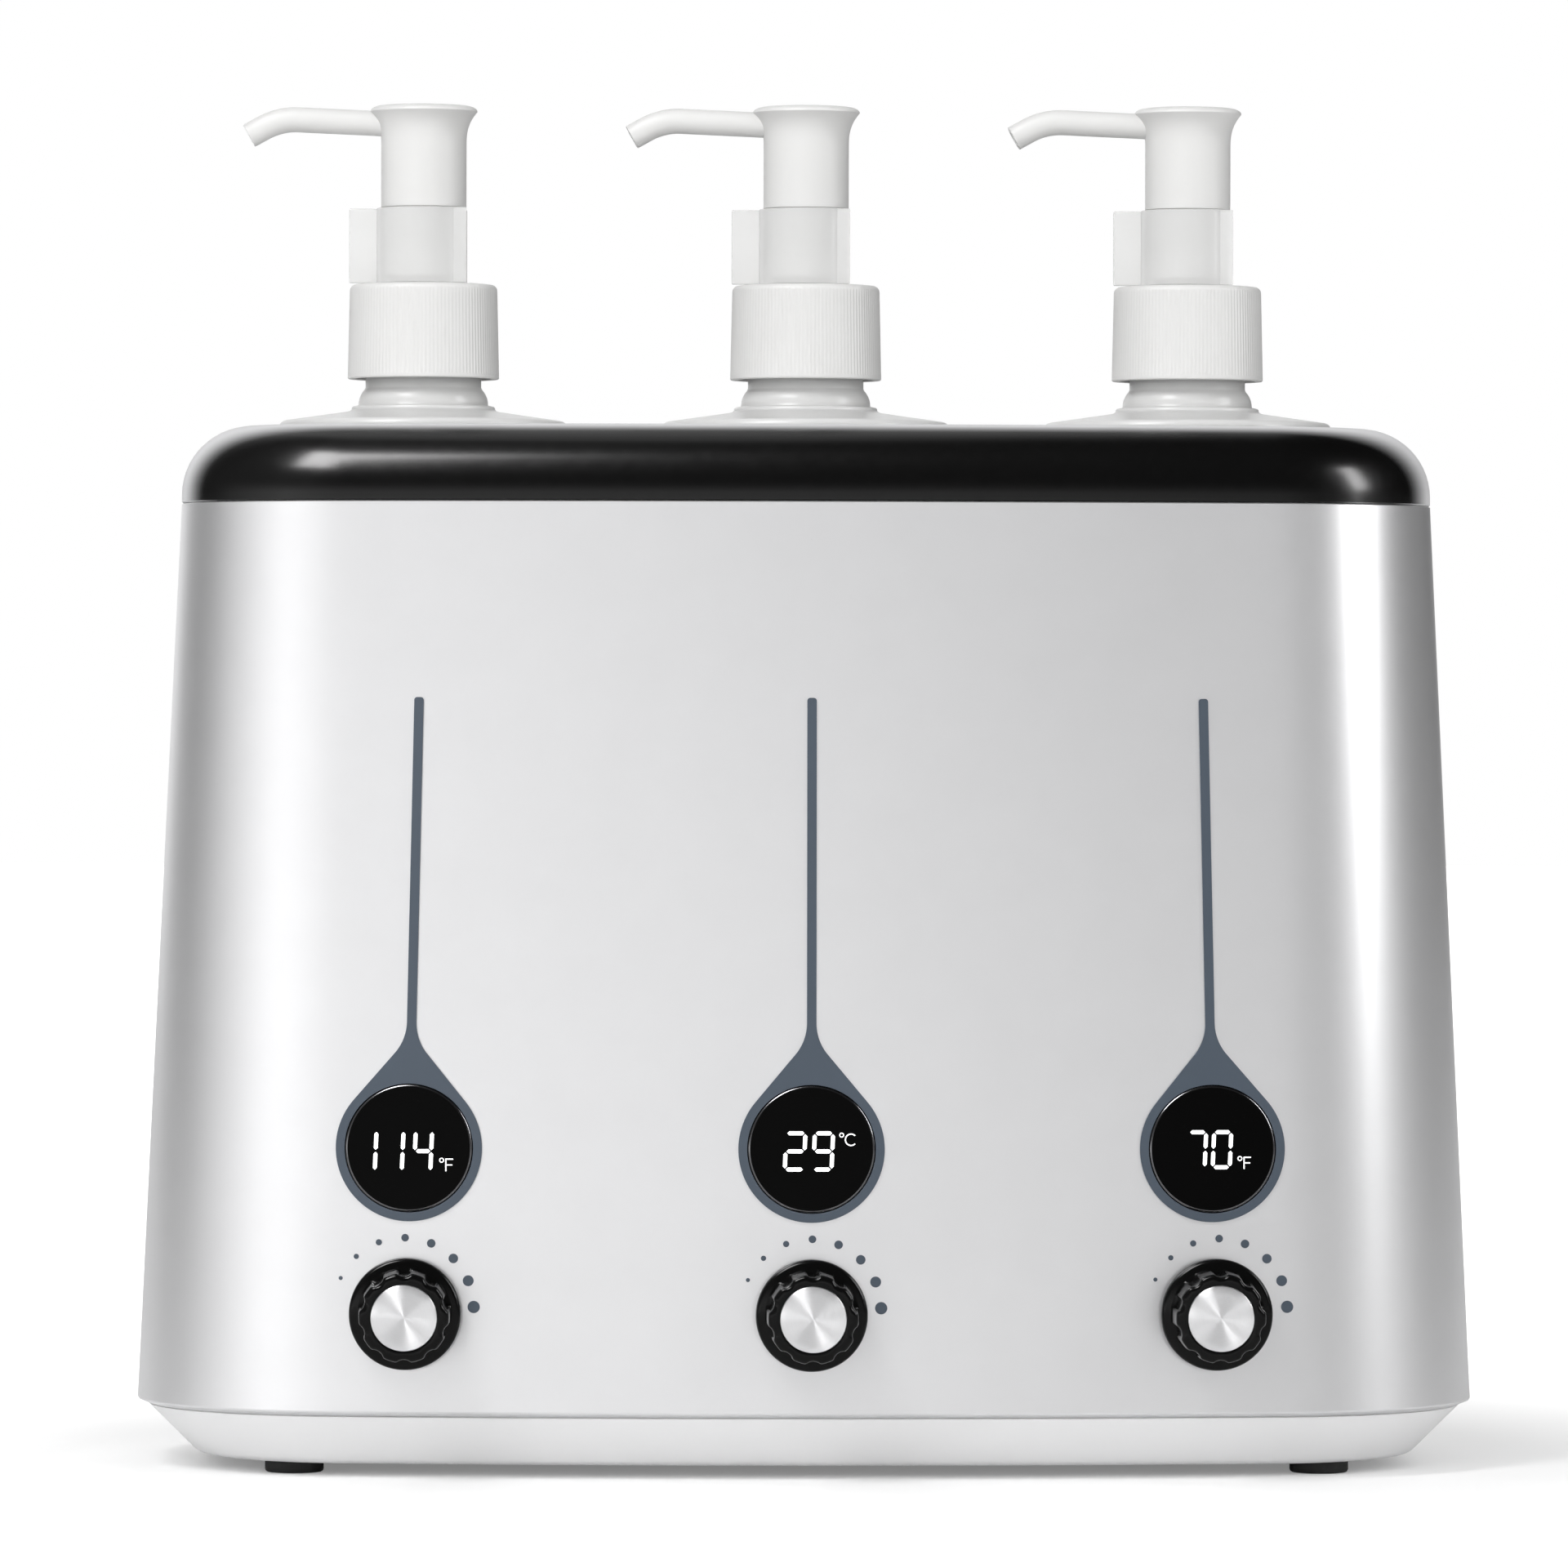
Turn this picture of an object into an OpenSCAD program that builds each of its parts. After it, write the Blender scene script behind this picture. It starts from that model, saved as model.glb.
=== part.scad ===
// Warmer for three pump bottles of massage oil: a tapered shell with a rounded lid and a chamfered base,
// three heating wells, and one display and one knob for each bottle. The origin is on the floor, under the
// middle of the body. The front faces -Y.

/* [Body] */
// Width of the shell at its lower edge
body_w = 280; // [274:1:300]
// Depth of the shell at its lower edge
body_d = 128; // [122:1:150]
// Corner radius of the plan at the lower edge
corner_r = 48; // [44:1:54]
// Radius of the bowed front and rear faces
bow_r = 800; // [700:10:1400]
// Lean of the walls, in degrees from upright
draft = 2.72; // [2:0.01:3]
// Height of the shell
shell_h = 188.1; // [184:0.1:205]
// Wall of the shell
shell_wall = 2.5; // [2:0.1:3]
// Width of the bevel on the shell's lower edge
shell_bevel_w = 2.2; // [1.6:0.1:2.4]
// Height of that bevel
shell_bevel_h = 0.9; // [0.5:0.1:1.5]

/* [Lid] */
// Height of the lid
lid_h = 16.2; // [15:0.1:19]
// Radius of the lid's rounded edge
lid_edge_r = 14.4; // [11:0.1:14.8]
// Wall of the lid
lid_wall = 2.6; // [2:0.1:3]
// Depth of the lip that goes down inside the shell
lip_h = 6; // [4:0.5:9]
// Wall of the lip, and of the rim on the base pan
lip_wall = 1.7; // [1.4:0.1:2.2]

/* [Base and feet] */
// Height of the base pan under the shell
base_h = 10.7; // [9:0.1:13]
// Height of the rounding under the base's chamfer
base_round_h = 1.3; // [1:0.1:2]
// Wall of the base pan's chamfer, measured level
base_wall = 3.3; // [2.6:0.1:4]
// Thickness of the base pan's floor
base_floor = 2.2; // [1.8:0.1:3]
// Height of the rim that stands inside the shell
rim_h = 6; // [4:0.5:9]
// Diameter of a foot
foot_d = 12.2; // [9:0.1:14]
// Height of a foot under the base
foot_h = 2.5; // [2:0.1:5]
// Distance of the feet in from the shell's ends
foot_in = 33.5; // [32:0.5:40]
// Distance of the feet in from the shell's front and rear
foot_back = 31; // [30:0.5:34]
// Diameter of the stud that holds a foot
foot_stud_d = 5; // [4:0.1:6]

/* [Knobs] */
// Height of the knob axes above the floor
knob_z = 34.5; // [32:0.1:36]
// Diameter of a knob's flange
knob_flange_d = 22.9; // [20.6:0.1:24]
// Thickness of the flange
knob_flange_t = 3; // [2:0.1:4]
// Diameter of the scalloped grip
knob_grip_d = 18.9; // [17.5:0.1:19.5]
// Height of a knob
knob_h = 15; // [14:0.1:18]
// Number of scallops round the grip
scallops = 10; // [8:1:12]
// Radius of a scallop
scallop_r = 2.4; // [2:0.1:3]
// Depth of a scallop
scallop_depth = 0.7; // [0.4:0.1:0.9]
// Diameter of the silver cap disc
cap_d = 13.5; // [12:0.1:14]
// Thickness of the cap disc
cap_t = 1; // [0.8:0.1:1.4]
// How far the cap stands out of the knob
cap_show = 0.2; // [0:0.1:0.4]
// Diameter of the flat boss behind a knob
boss_d = 19; // [16:0.5:20]
// How far the boss stands out of the bowed face at the knob's axis
boss_rise = 1.4; // [1.3:0.1:2]
// Diameter of the control's shaft
shaft_d = 6; // [5:0.1:6.4]
// How deep the shaft goes into the knob
shaft_in = 9.5; // [8:0.1:10]

/* [Displays and trims] */
// Height of the display centres above the floor
display_z = 68.3; // [66:0.1:70]
// Diameter of a display window
lens_d = 26; // [23:0.1:27]
// How far the window stands proud of its trim
lens_show = 0.15; // [0.05:0.05:0.5]
// Width and thickness of the flange behind the window
lens_flange = 1.4; // [1:0.1:1.8]
// Outer diameter of the round end of a trim
trim_d = 30; // [28:0.1:31]
// Thickness of a trim
trim_t = 0.35; // [0.2:0.05:0.6]
// Width of a trim's stem
trim_stem_w = 1.93; // [1.4:0.01:3]
// Height of the stem's top above the floor
trim_top_z = 160.8; // [140:0.1:180]
// Angle on the round end at which its sides leave it
trim_side_a = 40; // [30:1:50]
// Radius of the hollow curve between the sides and the stem
trim_curve_r = 10; // [6:0.5:14]
// Lean of the two outer trims, in degrees
channel_lean = 1.15; // [0.5:0.05:2]

/* [Bottles] */
// Diameter of a bottle
bottle_d = 60.8; // [56:0.1:62]
// Height of a bottle up to its shoulder's edge
bottle_h = 131.3; // [122:0.1:134]
// How far the shoulder's edge stands above the lid
bottle_show = 1.6; // [1:0.1:6]
// Wall of a bottle
bottle_wall = 1.2; // [0.9:0.1:1.6]
// Rounding of the bottle's lower edge
bottle_foot_r = 4; // [2:0.5:6]
// Rounding of the shoulder's edge
shoulder_r = 1.5; // [1:0.1:3]
// Rise of the shoulder up to the neck
shoulder_rise = 3.1; // [2.4:0.1:5]
// Diameter of the step where the neck leaves the shoulder
neck_step_d = 30.2; // [29:0.1:33]
// Diameter of the bead on the neck
bead_d = 27.3; // [26.5:0.1:28]
// Height of the bead
bead_h = 3.6; // [2:0.1:5]
// Diameter of the neck
neck_d = 24.4; // [24:0.1:25.4]
// Wall of the neck
neck_wall = 1.6; // [1.2:0.1:2]

/* [Pumps] */
// Diameter of a closure at its lower edge
closure_d = 31.9; // [31:0.1:34]
// How much narrower the closure is at the top
closure_taper = 0.8; // [0:0.1:1.4]
// Height of a closure
closure_h = 19.9; // [17:0.1:23]
// Wall of a closure
closure_wall = 1.6; // [1.2:0.1:1.8]
// Gap between the bead and the closure
closure_gap = 2.1; // [1:0.1:4]
// Diameter of the chimney that guides the stem
collar_d = 13.2; // [11:0.1:14]
// Thickness of the flanges that the closure clamps on the neck
flange_t = 1.4; // [1:0.1:2]
// Diameter of the pump stem
stem_d = 7; // [6:0.1:7.6]
// Depth of the stem in the head
stem_in_head = 4; // [3:0.1:5]
// Diameter of the flow bore through stem and spout
flow_d = 3; // [2:0.1:3.4]
// Diameter of the piston's bore in the housing
piston_d = 10; // [9.4:0.1:11]
// Length of the piston
piston_l = 6; // [4:0.5:8]
// Wall of the pump housing
housing_wall = 1.4; // [1:0.1:2]
// Length of the piston's bore under the neck
housing_l = 48; // [42:0.5:56]
// Length of the valve seat under the piston's bore
valve_l = 6; // [4:0.5:8]
// Depth of the dip tube in its socket
tube_in = 10; // [8:0.5:12]
// Gap between the dip tube and the bottle's floor
tube_lift = 3; // [2:0.5:6]
// Outer diameter of the dip tube
tube_d = 5.1; // [4.6:0.1:5.6]
// Wall of the dip tube
tube_wall = 0.85; // [0.6:0.05:1]
// Wire of the return spring
spring_wire = 0.9; // [0.7:0.1:1.1]
// Turns of the return spring
spring_turns = 8; // [6:1:10]
// Stroke of the pump
stroke = 12; // [9:0.5:12]
// Diameter of the pump head
head_d = 18; // [17:0.1:18.6]
// Diameter of the head's flared top
head_top_d = 22.6; // [20:0.1:25]
// Height of the head
head_h = 21.3; // [20.5:0.1:24]
// Rise of the slightly domed top
head_dome = 0.4; // [0.2:0.1:0.8]
// Height of the flare
head_flare_h = 8; // [6:0.1:10]
// Height of the rounded rim round the head's top
head_rim = 1.2; // [0.8:0.1:1.6]
// Wall of the head's skirt
head_wall = 1.15; // [0.9:0.05:1.4]
// Depth of the spout's axis under the top of the head
spout_down = 4.15; // [3.8:0.05:4.6]
// Outer diameter of the spout
spout_d = 5.3; // [4.6:0.1:6]
// Reach of the spout up to its bend
spout_reach = 26.4; // [22:0.1:27]
// Rise of the spout, in degrees
spout_rise = 2.5; // [0:0.5:5]
// Radius of the spout's bend
spout_bend_r = 14; // [10:0.5:18]
// Slope of the spout's tip, in degrees downwards
spout_drop = 29; // [20:1:32]
// Length of the tip after the bend
spout_tip = 3.5; // [2:0.1:5]
// Height of the clip between closure and head
clip_h = 15.9; // [15.5:0.1:18]
// Wall of the clip
clip_wall = 0.8; // [0.6:0.1:1.2]
// Thickness of the clip's floor
clip_floor = 1.5; // [1:0.1:2]
// Reach of the clip's pull tab from the axis
clip_tab_reach = 15.7; // [13:0.1:18]
// Thickness of the pull tab
clip_tab_t = 1.8; // [1.2:0.1:3]
// Reach of the clip's two jaws from the axis
clip_jaw_reach = 9.1; // [8:0.1:11]

/* [Wells and heaters] */
// Gap round a bottle in its well
well_gap = 1.1; // [0.6:0.1:1.4]
// Wall of a heating well
well_wall = 1.2; // [0.8:0.1:1.6]
// Width of the well's flange
well_flange_w = 3; // [2:0.1:3.4]
// Flat rim of the lid between an outer well and the rounded edge
well_rim = 3.3; // [2:0.1:5]
// Thickness of the seal between the flange and the lid
seal_t = 2.3; // [1.5:0.1:3]
// Thickness of a heater mat
heater_t = 1.5; // [1:0.1:2]
// Height of a heater mat
heater_h = 70; // [50:1:95]
// Height of the mat's lower edge above the carrier
heater_lift = 8; // [6:0.5:14]
// Width of the slit in a heater mat
heater_slit = 6; // [4:0.5:10]
// Height of the terminal block on a heater mat
terminal_h = 10; // [8:0.5:14]
// Diameter of a temperature sensor
sensor_d = 12; // [8:0.5:16]
// Thickness of a temperature sensor
sensor_t = 4; // [3:0.5:6]
// Thickness of the carrier plate
carrier_t = 3; // [2:0.1:4]
// Wall of the ring that locates a well on the carrier
locator_wall = 1.4; // [1:0.1:2]
// Height of that ring
locator_h = 4; // [3:0.5:5]
// Width of the ledge under a well
well_ledge = 8; // [5:0.5:12]
// Distance of the posts in from the shell's ends
post_in = 30; // [29:0.5:34]
// Distance of the posts from the middle, front to back
post_y = 17; // [14:0.5:18]
// Diameter of a post
post_d = 9; // [8:0.5:10]
// Diameter of a base screw
screw_d = 3; // [2.5:0.1:3.5]
// Length of a base screw in its post
screw_in = 9; // [6:0.5:12]
// Diameter of a base screw's head
screw_head_d = 6; // [5:0.1:6.4]
// Thickness of the boss between a base screw's head and its post
screw_boss_t = 4; // [3:0.5:6]
// Height of a base screw's head
screw_head_h = 2; // [1.6:0.1:2.4]

/* [Electronics] */
// Distance from the shell's face at the knob back to a control board
board_in = 15; // [14:0.5:18]
// Width of a control board
board_w = 46; // [44:1:56]
// Thickness of every circuit board
board_t = 1.6; // [1:0.1:2]
// Diameter of a control's body
control_d = 16.4; // [14:0.1:17]
// Depth of a control's body
control_t = 8; // [6:0.1:9]
// Diameter of a control's bush
bush_d = 7; // [6.6:0.1:8]
// Width of a display module
module_w = 24; // [20:1:26]
// Height of a display module
module_h = 14; // [12:1:18]
// Depth of a display module
module_t = 7; // [5:0.1:8]
// Diameter of a board screw
board_screw_d = 2.2; // [2:0.1:2.6]
// Length of a board screw in its post
board_screw_in = 5; // [4:0.5:7]
// Diameter of a board screw's head
board_screw_head_d = 4; // [3.4:0.1:4.6]
// Height of a board screw's head
board_screw_head_h = 1.4; // [1:0.1:1.8]
// Diameter of a post that carries a control board
board_post_d = 5; // [4.4:0.1:6]
// Gap between the power board's ends and the posts
power_gap = 7.5; // [5:0.5:12]
// Distance of the power board's front edge from the middle
power_front = 12; // [8:1:16]
// Diameter of a standoff under the power board
standoff_d = 6; // [5:0.5:7]
// Height of the power board above the base's floor
power_board_lift = 5; // [3:0.5:8]
// Height of the heater connectors
connector_h = 9; // [7:0.5:12]
// Diameter of a heater lead
lead_d = 1.8; // [1.2:0.1:2.4]
// Distance of a heater's two leads from its middle
lead_dx = 4; // [3:0.1:5]
// Width, depth and height of the transformer
transformer = [34, 28, 24]; // [20:1:40]
// Diameter and height of the capacitor
capacitor = [16, 20]; // [10:1:26]
// Width, depth and height of a relay
relay = [18, 16, 15]; // [12:1:20]
// Floor of a control's body behind its shaft
control_floor = 2; // [1:0.1:3]
// Height of a control board above the display's middle
board_edge = 15; // [13:0.5:18]
// Distance of the board posts in from a control board's edges
board_post_in = 4; // [3:0.1:6]
// Height of the inlet's middle above the floor
inlet_z = 26; // [24:0.5:32]
// Width of the inlet socket's body
inlet_w = 21; // [20:0.5:24]
// Height of the inlet socket's body
inlet_h = 12; // [11:0.5:14]
// Length of the inlet socket's body
inlet_l = 19; // [17:0.5:20]
// Depth of the inlet's recess
inlet_depth = 11; // [9:0.5:12]
// Width and thickness of the inlet's outer flange
inlet_rim = 1.6; // [1:0.1:2.4]
// Distance between the inlet's pins
pin_pitch = 8.6; // [8:0.1:9]
// Diameter of a pin
pin_d = 2.4; // [2:0.1:2.6]
// Length of a pin behind the inlet
pin_tail = 3; // [2:0.5:4]
// Depth of a pin's end inside the recess
pin_sunk = 2; // [1:0.5:3]
// Radius of the recess round each pin
pin_recess_r = 4.1; // [3.8:0.1:4.4]

/* [Clearances] */
// Fit between fixed pieces that slide together
fit = 0.2; // [0.1:0.05:0.3]
// Gap under a glued or seated skin
seat = 0.05; // [0.02:0.01:0.1]
// Radial clearance of a shaft or piston in its bore
run_fit = 0.06; // [0.02:0.01:0.1]
// Gap between pieces that move past each other
play = 0.3; // [0.2:0.05:0.5]

/* [Hidden] */
$fn = 96;
eps = 1;
soft = 0.3;
SIDES = ["left", "middle", "right"];
SHARED = ["base_pan", "rubber_feet", "base_screws", "outer_shell", "top_lid", "well_carrier",
    "heater_mats", "well_seals", "temperature_sensors", "display_lenses", "display_modules",
    "control_boards", "control_bodies", "board_screws", "power_board", "heater_leads",
    "inlet_socket", "inlet_pins"];
EACH = ["heating_well", "drop_trim", "knob", "knob_cap", "control_shaft", "bottle", "pump_housing",
    "pump_collar", "dip_tube", "pump_spring", "closure", "pump_stem", "pump_head", "lock_clip"];
NODES = concat(SHARED, [for (piece = EACH) for (s = SIDES) str(piece, "_", s)]);
node = "all";

// Levels of the body
z_base = foot_h;
z_floor = z_base + base_floor;
z_seam = z_base + base_h;
z_lid = z_seam + shell_h;
z_top = z_lid + lid_h;

// Plan of the body: corner arcs that run smoothly into the bowed faces
half_w = body_w / 2;
half_d = body_d / 2;
corner_x = half_w - corner_r;
bow_y = bow_r - half_d;
bow_reach = sqrt(pow(bow_r - corner_r, 2) - pow(corner_x, 2));
corner_y = bow_reach - bow_y;
tangent_a = atan2(bow_reach, corner_x);
foot_x = half_w - foot_in;
foot_y = half_d - foot_back;
post_x = half_w - post_in;
power_board_w = 2 * (post_x - post_d / 2 - power_gap);
corner_steps = 14;
bow_steps = 6;
round_steps = 24;

// Levels of a bottle and its pump
bottle_r = bottle_d / 2;
z_shoulder = z_top + bottle_show;
z_bottle = z_shoulder - bottle_h;
z_bead = z_shoulder + shoulder_rise;
z_closure = z_bead + bead_h + closure_gap;
z_cap = z_closure + closure_h;
z_neck = z_cap - closure_wall - fit - 2 * flange_t;
z_clip = z_cap + fit;
z_head = z_clip + clip_h + play;
z_head_top = z_head + head_h;
z_bore = z_neck - housing_l;
z_chimney = z_head - play;
z_piston = z_neck + flange_t - play - piston_l;
flange_r = neck_d / 2 - 2 * fit;
riser_d = 1.3 * flow_d;
head_cavity = stroke + 2 * play;
z_tube = z_bore - valve_l;
z_inside = z_bottle + 1.5 * bottle_wall;
spout_run = spout_reach / cos(spout_rise);

// Levels and radii of the wells
well_r = bottle_r + well_gap;
well_out_r = well_r + well_wall;
z_well = z_bottle - well_wall;
z_flange = z_top - lid_wall - seal_t;
heater_r = well_out_r + seat;
z_heater = z_well + heater_lift;
z_boss = z_base + screw_head_h + screw_boss_t;
z_power = z_floor + power_board_lift;
z_connector = z_power + board_t + connector_h;
lead_y = heater_r + heater_t + lead_d;
bottle_pitch = half_w - lean(z_lid) - lid_edge_r - well_rim - well_out_r;
cell = bottle_pitch / 2 - seat;
power_back = lead_y + lead_dx + fit;
inlet_waist = 0.8 * pin_recess_r;
z_board = z_seam + rim_h + eps;

// Row of three channels: -1, 0 and 1
function side(i) = i - 1;
function bottle_x(i) = side(i) * bottle_pitch;
function channel_x(i, z) = side(i) * (bottle_pitch + (trim_top_z - z) * tan(channel_lean));

// Inset of the leaning wall at a height, and the front face's place there
function lean(z) = (z - z_seam) * tan(draft);
function front_y(x, z) = bow_y - sqrt(pow(bow_r - lean(z), 2) - x * x);
function knob_face(i) = front_y(channel_x(i, knob_z), knob_z);
function knob_back(i) = knob_face(i) - boss_rise - play;
function board_y(i) = knob_face(i) + board_in;
function rear_y(z) = half_d - lean(z);
y_inlet = rear_y(inlet_z - inlet_h / 2 - inlet_rim) + seat + inlet_rim;

// One quarter of the plan, inset by o, from the end to the middle of the rear face
function quarter(o) = concat(
    [for (k = [0:corner_steps])
        let (t = tangent_a * k / corner_steps)
        [corner_x + (corner_r - o) * cos(t), corner_y + (corner_r - o) * sin(t)]],
    [for (k = [1:bow_steps])
        let (t = tangent_a + (90 - tangent_a) * k / bow_steps)
        [(bow_r - o) * cos(t), (bow_r - o) * sin(t) - bow_y]]);

function outline(o) =
    let (q = quarter(o), last = len(q) - 1)
    concat(q,
        [for (k = [last - 1:-1:0]) [-q[k].x, q[k].y]],
        [for (k = [0:last]) [-q[k].x, -q[k].y]],
        [for (k = [last - 1:-1:0]) [q[k].x, -q[k].y]]);

// Solid that follows the plan, through a list of [inset, height]
module plan_solid(profile) {
    n = len(outline(0));
    points = [for (p = profile) for (q = outline(p[0])) [q.x, q.y, p[1]]];
    sides = [for (k = [0:len(profile) - 2]) for (j = [0:n - 1])
        let (a = k * n + j, b = k * n + (j + 1) % n)
        [a, a + n, b + n, b]];
    bottom = [for (j = [0:n - 1]) j];
    top = [for (j = [n - 1:-1:0]) (len(profile) - 1) * n + j];
    polyhedron(points, concat([bottom], sides, [top]));
}

// Leaning wall between two insets and two heights
module wall(outer, inner, z0, z1) {
    difference() {
        plan_solid([[lean(z0) + outer, z0], [lean(z1) + outer, z1]]);
        plan_solid([[lean(z0 - eps) + inner, z0 - eps], [lean(z1 + eps) + inner, z1 + eps]]);
    }
}

// Cylinder along Y from y0 to y1
module rod_y(x, z, d, y0, y1) {
    translate([x, y1, z])
        rotate([90, 0, 0])
            cylinder(d = d, h = y1 - y0);
}

module block(x0, x1, y0, y1, z0, z1) {
    translate([x0, y0, z0])
        cube([x1 - x0, y1 - y0, z1 - z0]);
}

module ring(outer_r, inner_r, z0, z1) {
    translate([0, 0, z0])
        difference() {
            cylinder(r = outer_r, h = z1 - z0);
            translate([0, 0, -eps])
                cylinder(r = inner_r, h = z1 - z0 + 2 * eps);
        }
}

// Keeps what goes round a well on its side of the middle between two wells
module in_cell() {
    intersection() {
        children();
        block(-cell, cell, -half_d, half_d, z_well - 2 * eps, z_top);
    }
}

// Places that repeat
module at_bottles() {
    for (i = [0:2])
        translate([bottle_x(i), 0, 0])
            children();
}

module at_corners(x, y) {
    for (sx = [-1, 1], sy = [-1, 1])
        translate([sx * x, sy * y, 0])
            children();
}

// Points of the board posts of a channel, as [x, z]
function board_posts(i) =
    let (x = channel_x(i, knob_z), dx = board_w / 2 - board_post_in)
    [for (sx = [-1, 1], z = [z_board + board_post_in, display_z + board_edge - board_post_in])
        [x + sx * dx, z]];

module base_pan() {
    chamfer_in = shell_bevel_w + base_h - base_round_h;
    round_r = base_round_h / (1 - cos(45));
    inner = shell_bevel_w + base_wall;
    color("white")
        difference() {
            union() {
                difference() {
                    plan_solid(concat(
                        [for (a = [0:15:45])
                            [chamfer_in + round_r * (sin(45) - sin(a)), z_base + round_r * (1 - cos(a))]],
                        [[shell_bevel_w, z_seam]]));
                    plan_solid([
                        [inner + base_h - base_floor, z_floor],
                        [inner, z_seam],
                        [inner, z_seam + eps]]);
                }
                wall(shell_wall + fit, shell_wall + fit + lip_wall, z_seam - eps, z_seam + rim_h);
                at_corners(post_x, post_y)
                    translate([0, 0, z_base])
                        cylinder(d = post_d + 2, h = z_boss - z_base);
                for (sx = [-1, 1], y = [-power_front + standoff_d, power_back - 3 * standoff_d])
                    translate([sx * (power_board_w / 2 - standoff_d), y, z_base + eps])
                        cylinder(d = standoff_d, h = z_power - z_base - eps);
            }
            at_corners(post_x, post_y) {
                translate([0, 0, z_base - eps])
                    cylinder(d = screw_d + 2 * fit, h = z_boss);
                translate([0, 0, z_base - eps])
                    cylinder(d = screw_head_d + 2 * fit, h = screw_head_h + fit + eps);
            }
            at_corners(foot_x, foot_y)
                translate([0, 0, z_base - eps])
                    cylinder(d = foot_stud_d + 2 * seat, h = base_h);
            block(-inlet_w / 2 - play, inlet_w / 2 + play, half_d / 2, half_d,
                inlet_z - inlet_h / 2 - play, inlet_z);
        }
}

module rubber_feet() {
    color("#161616")
        at_corners(foot_x, foot_y) {
            cylinder(d = foot_d, h = foot_h);
            cylinder(d = foot_stud_d, h = foot_h + base_floor + eps);
        }
}

module base_screws() {
    color("lightgray")
        at_corners(post_x, post_y)
            translate([0, 0, z_base + fit]) {
                cylinder(d = screw_head_d, h = screw_head_h);
                cylinder(d = screw_d, h = z_boss - z_base - fit + screw_in);
            }
}

module outer_shell() {
    color("silver")
        difference() {
            union() {
                difference() {
                    plan_solid([
                        [shell_bevel_w, z_seam],
                        [lean(z_seam + shell_bevel_h), z_seam + shell_bevel_h],
                        [lean(z_lid), z_lid]]);
                    plan_solid([
                        [lean(z_seam - eps) + shell_wall, z_seam - eps],
                        [lean(z_lid + eps) + shell_wall, z_lid + eps]]);
                }
                for (i = [0:2]) {
                    rod_y(channel_x(i, knob_z), knob_z, boss_d, knob_face(i) - boss_rise,
                        knob_face(i) + shell_wall + boss_rise);
                    for (p = board_posts(i))
                        rod_y(p[0], p[1], board_post_d, front_y(p[0], p[1]) + shell_wall / 2, board_y(i));
                }
            }
            for (i = [0:2]) {
                rod_y(channel_x(i, knob_z), knob_z, bush_d + 2 * fit, -half_d - boss_rise, board_y(i));
                rod_y(channel_x(i, display_z), display_z, lens_d + 2 * fit, -half_d, -half_d / 2);
                for (p = board_posts(i))
                    rod_y(p[0], p[1], board_screw_d + 2 * seat, board_y(i) - board_screw_in - eps,
                        board_y(i) + eps);
            }
            block(-inlet_w / 2 - fit, inlet_w / 2 + fit, half_d / 2, half_d + eps,
                inlet_z - inlet_h / 2 - fit, inlet_z + inlet_h / 2 + fit);
        }
}

// Hollow of the lid, with more levels above its rounding if need be
module lid_inside(more = []) {
    e = lean(z_lid);
    inner_r = lid_edge_r - lid_wall;
    plan_solid(concat([[e + lid_wall, z_lid - eps]],
        [for (a = [0:10:90]) [e + lid_edge_r - inner_r * cos(a), z_top - lid_edge_r + inner_r * sin(a)]],
        more));
}

module top_lid() {
    e = lean(z_lid);
    z_arc = z_top - lid_edge_r;
    arc = [0:10:90];
    color("#101012")
        difference() {
            union() {
                difference() {
                    plan_solid(concat([[e, z_lid]],
                        [for (a = arc) [e + lid_edge_r * (1 - cos(a)), z_arc + lid_edge_r * sin(a)]]));
                    lid_inside();
                }
                wall(shell_wall + fit, shell_wall + fit + lip_wall, z_lid - lip_h, z_lid + eps / 2);
                wall(lid_wall / 2, shell_wall + fit + lip_wall, z_lid, z_lid + lid_h / 4);
            }
            at_bottles()
                translate([0, 0, z_lid])
                    cylinder(r = well_r, h = lid_h + eps);
        }
}

module well_carrier() {
    plate_w = 2 * post_x + post_d;
    locator_r = well_out_r + fit + locator_wall;
    color("dimgray")
        difference() {
            union() {
                block(-plate_w / 2, plate_w / 2, -locator_r, lead_y + lead_d + locator_wall,
                    z_well - carrier_t, z_well);
                at_corners(post_x, post_y)
                    translate([0, 0, z_boss])
                        cylinder(d = post_d, h = z_well - z_boss);
                at_bottles()
                    in_cell()
                        ring(locator_r, well_out_r + fit, z_well - eps, z_well + locator_h);
            }
            at_bottles() {
                translate([0, 0, z_well - carrier_t - eps])
                    cylinder(r = well_r - well_ledge, h = carrier_t + 2 * eps);
                for (sx = [-1, 1])
                    translate([sx * lead_dx, lead_y, z_well - carrier_t - eps])
                        cylinder(d = lead_d + 4 * fit, h = carrier_t + locator_h + 2 * eps);
            }
            at_corners(post_x, post_y)
                translate([0, 0, z_boss - eps])
                    cylinder(d = screw_d + 2 * seat, h = screw_in + 2 * eps);
        }
}

module heating_well(i) {
    color("gainsboro")
        translate([bottle_x(i), 0, 0])
            in_cell()
                rotate_extrude()
                    polygon([
                        [0, z_well], [well_out_r - well_wall / 2, z_well],
                        [well_out_r, z_well + well_wall / 2], [well_out_r, z_flange - well_wall],
                        [well_out_r + well_flange_w, z_flange - well_wall],
                        [well_out_r + well_flange_w, z_flange], [well_r, z_flange],
                        [well_r, z_bottle], [0, z_bottle]]);
}

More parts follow.
